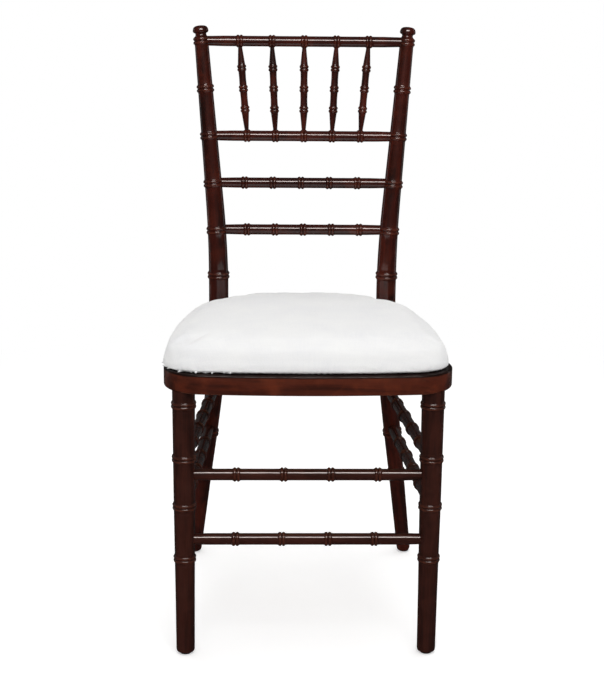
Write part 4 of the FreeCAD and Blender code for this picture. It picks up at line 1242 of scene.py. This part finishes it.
def makeCushion():
    mesh = modified(cushionLoft(), "REMESH", mode="VOXEL", voxel_size=cushion["voxel"])
    print("cushion points before swelling:", len(mesh.vertices))
    mesh = swollen(mesh)
    mesh = modified(mesh, "SUBSURF", levels=1, render_levels=1)
    fitted(mesh)
    gathered(mesh)
    addHem(mesh)
    storeCloth(mesh)
    for vertex in mesh.vertices:
        vertex.co.x += cushion["asideX"]
    dressed(mesh, cushionCotton)
    mesh.name = "seat_cushion"
    piece = addPiece(
        "seat_cushion", mesh, "cushion", "cushion_cloth",
        "cushion_cover", "cushion_foam", "cushion_board",
    )
    low = min(vertex.co.z for vertex in mesh.vertices)
    high = max(vertex.co.z for vertex in mesh.vertices)
    print("cushion made, from %.4f to %.4f" % (low, high))


makeCushion()


# Studio: floor, soft lamps, white surround and the camera

studio = {
    "floorHalf": 60.0, "nearWhite": 0.75, "farWhite": 1.8, "floorShade": 0.88, "floorLift": 0.4,
    "surround": 0.75, "frontDim": 0.02, "wallWhite": 0.06,
}


def mixedShader(tree, factor, first, second):
    return feedFirst(tree, put(tree, "ShaderNodeMixShader"), factor, first, second)[0]


def directRays(tree, path):
    return maths(tree, "MAXIMUM", path["Is Camera Ray"], path["Is Transmission Ray"])


def floorMaterial():
    material = bpy.data.materials.new("studioFloor")
    material.use_nodes = True
    tree = material.node_tree
    tree.nodes.clear()
    path = put(tree, "ShaderNodeLightPath").outputs
    where = objectPlace(tree)
    grit = noiseField(tree, where, 900.0, 2.0)
    shade = studio["floorShade"]
    low = (shade * 0.99, shade * 0.99, shade * 0.99, 1.0)
    tint = mixed(tree, grit, low, (shade, shade, shade, 1.0))
    cloth = made(tree, "ShaderNodeBsdfDiffuse", Color=tint)
    glow = made(tree, "ShaderNodeEmission")
    lift = made(tree, "ShaderNodeEmission", Strength=studio["floorLift"])
    lit = feedFirst(tree, put(tree, "ShaderNodeAddShader"), cloth, lift)[0]
    away = feedFirst(tree, put(tree, "ShaderNodeVectorMath", operation="LENGTH"), where)["Value"]
    far = ranged(tree, away, studio["nearWhite"], studio["farWhite"], smooth=True)
    seen = mixedShader(tree, far, lit, glow)
    # gloss sees the floor pale behind the chair and dim before it, as it sees the walls
    depth = partsOf(tree, where)["Y"]
    walls = ranged(tree, depth, 0.0, 1.2, studio["frontDim"], studio["wallWhite"])
    mirrored = made(tree, "ShaderNodeEmission", Strength=walls)
    gloss = mixedShader(tree, path["Is Glossy Ray"], cloth, mirrored)
    surface = mixedShader(tree, directRays(tree, path), gloss, seen)
    feed(tree, put(tree, "ShaderNodeOutputMaterial").inputs["Surface"], surface)
    return material


def makeFloor():
    half = studio["floorHalf"]
    mesh = bpy.data.meshes.new("studio_floor")
    corners = [(-half, -half, 0), (half, -half, 0), (half, half, 0), (-half, half, 0)]
    mesh.from_pydata(corners, [], [(0, 1, 2, 3)])
    mesh.materials.append(floorMaterial())
    floor = linked("studio_floor", mesh)


def makeWorld():
    world = bpy.data.worlds.new("whiteSurround")
    world.use_nodes = True
    scene.world = world
    tree = world.node_tree
    tree.nodes.clear()
    path = put(tree, "ShaderNodeLightPath").outputs
    way = put(tree, "ShaderNodeTexCoord").outputs["Generated"]
    fill = made(tree, "ShaderNodeBackground", Strength=studio["surround"])
    # gloss sees pale walls behind and beside the chair and a dim room before it
    dim, pale = studio["frontDim"], studio["wallWhite"]
    behind = ranged(tree, partsOf(tree, way)["Y"], -0.1, 0.7, dim, pale, smooth=True)
    walls = made(tree, "ShaderNodeBackground", Strength=behind)
    white = made(tree, "ShaderNodeBackground", Color=(1.0, 1.0, 1.0, 1.0))
    glossy = mixedShader(tree, path["Is Glossy Ray"], fill, walls)
    surface = mixedShader(tree, directRays(tree, path), glossy, white)
    feed(tree, put(tree, "ShaderNodeOutputWorld").inputs["Surface"], surface)


lampSize = {
    "highStrip": ((0.1, -1.75, 2.3), 0.55, (1.9, 0.58), 76.0),
    "frontFill": ((0.1, -1.95, 2.1), 0.5, (2.0, 1.2), 25.0),
    "topFill": ((0.3, 0.6, 2.8), 0.4, (2.0, 1.6), 15.0),
    "leftStrip": ((-2.0, 1.0, 0.9), 0.5, (0.25, 1.8), 1.6),
    "rightStrip": ((2.0, 1.0, 0.9), 0.5, (0.25, 1.8), 1.6),
}
warmTint = (1.0, 0.9, 0.86)


def makeLamps():
    # each lamp: its place, the height it looks at, its width and height, its watts
    for name, (at, targetHeight, (width, height), power) in lampSize.items():
        data = bpy.data.lights.new(name, "AREA")
        data.shape = "RECTANGLE"
        data.size = width
        data.size_y = height
        data.energy = power
        lamp = linked(name, data)
        lamp.location = at
        aim = Vector((0, 0, targetHeight)) - Vector(at)
        lamp.rotation_euler = aim.to_track_quat("-Z", "Y").to_euler()
        lamp.visible_glossy = "Fill" not in name
        lamp.visible_camera = False
    # the high strip is only seen in the lacquer; the fills light without a reflection
    strip = scene.objects["highStrip"]
    strip.visible_diffuse = False
    strip.data.color = warmTint


makeFloor()
makeWorld()
makeLamps()

viewpoint = {
    "at": (-0.0735, -2.4554, 1.0375), "yaw": math.radians(1.6), "pitch": math.radians(13.634),
    "roll": math.radians(0.542), "focalPixels": 1608.0, "imageHigh": 675.0, "sensor": 36.0,
}


def makeCamera():
    view = viewpoint
    yaw, pitch, roll = view["yaw"], view["pitch"], view["roll"]
    level = Vector((math.cos(yaw), -math.sin(yaw), 0))
    forward = Vector((math.sin(yaw), math.cos(yaw), 0))
    ahead = forward * math.cos(pitch) - Vector((0, 0, math.sin(pitch)))
    upward = level.cross(ahead)
    right = level * math.cos(roll) + upward * math.sin(roll)
    above = upward * math.cos(roll) - level * math.sin(roll)
    data = bpy.data.cameras.new("photoCamera")
    data.sensor_fit = "VERTICAL"
    data.sensor_height = view["sensor"]
    data.lens = view["focalPixels"] / view["imageHigh"] * view["sensor"]
    camera = linked("photoCamera", data)
    turn = [[right[row], above[row], -ahead[row]] for row in range(3)]
    rows = [turn[row] + [view["at"][row]] for row in range(3)] + [[0, 0, 0, 1]]
    camera.matrix_world = type(camera.matrix_world)(rows)
    scene.camera = camera


makeCamera()
print("studio set")
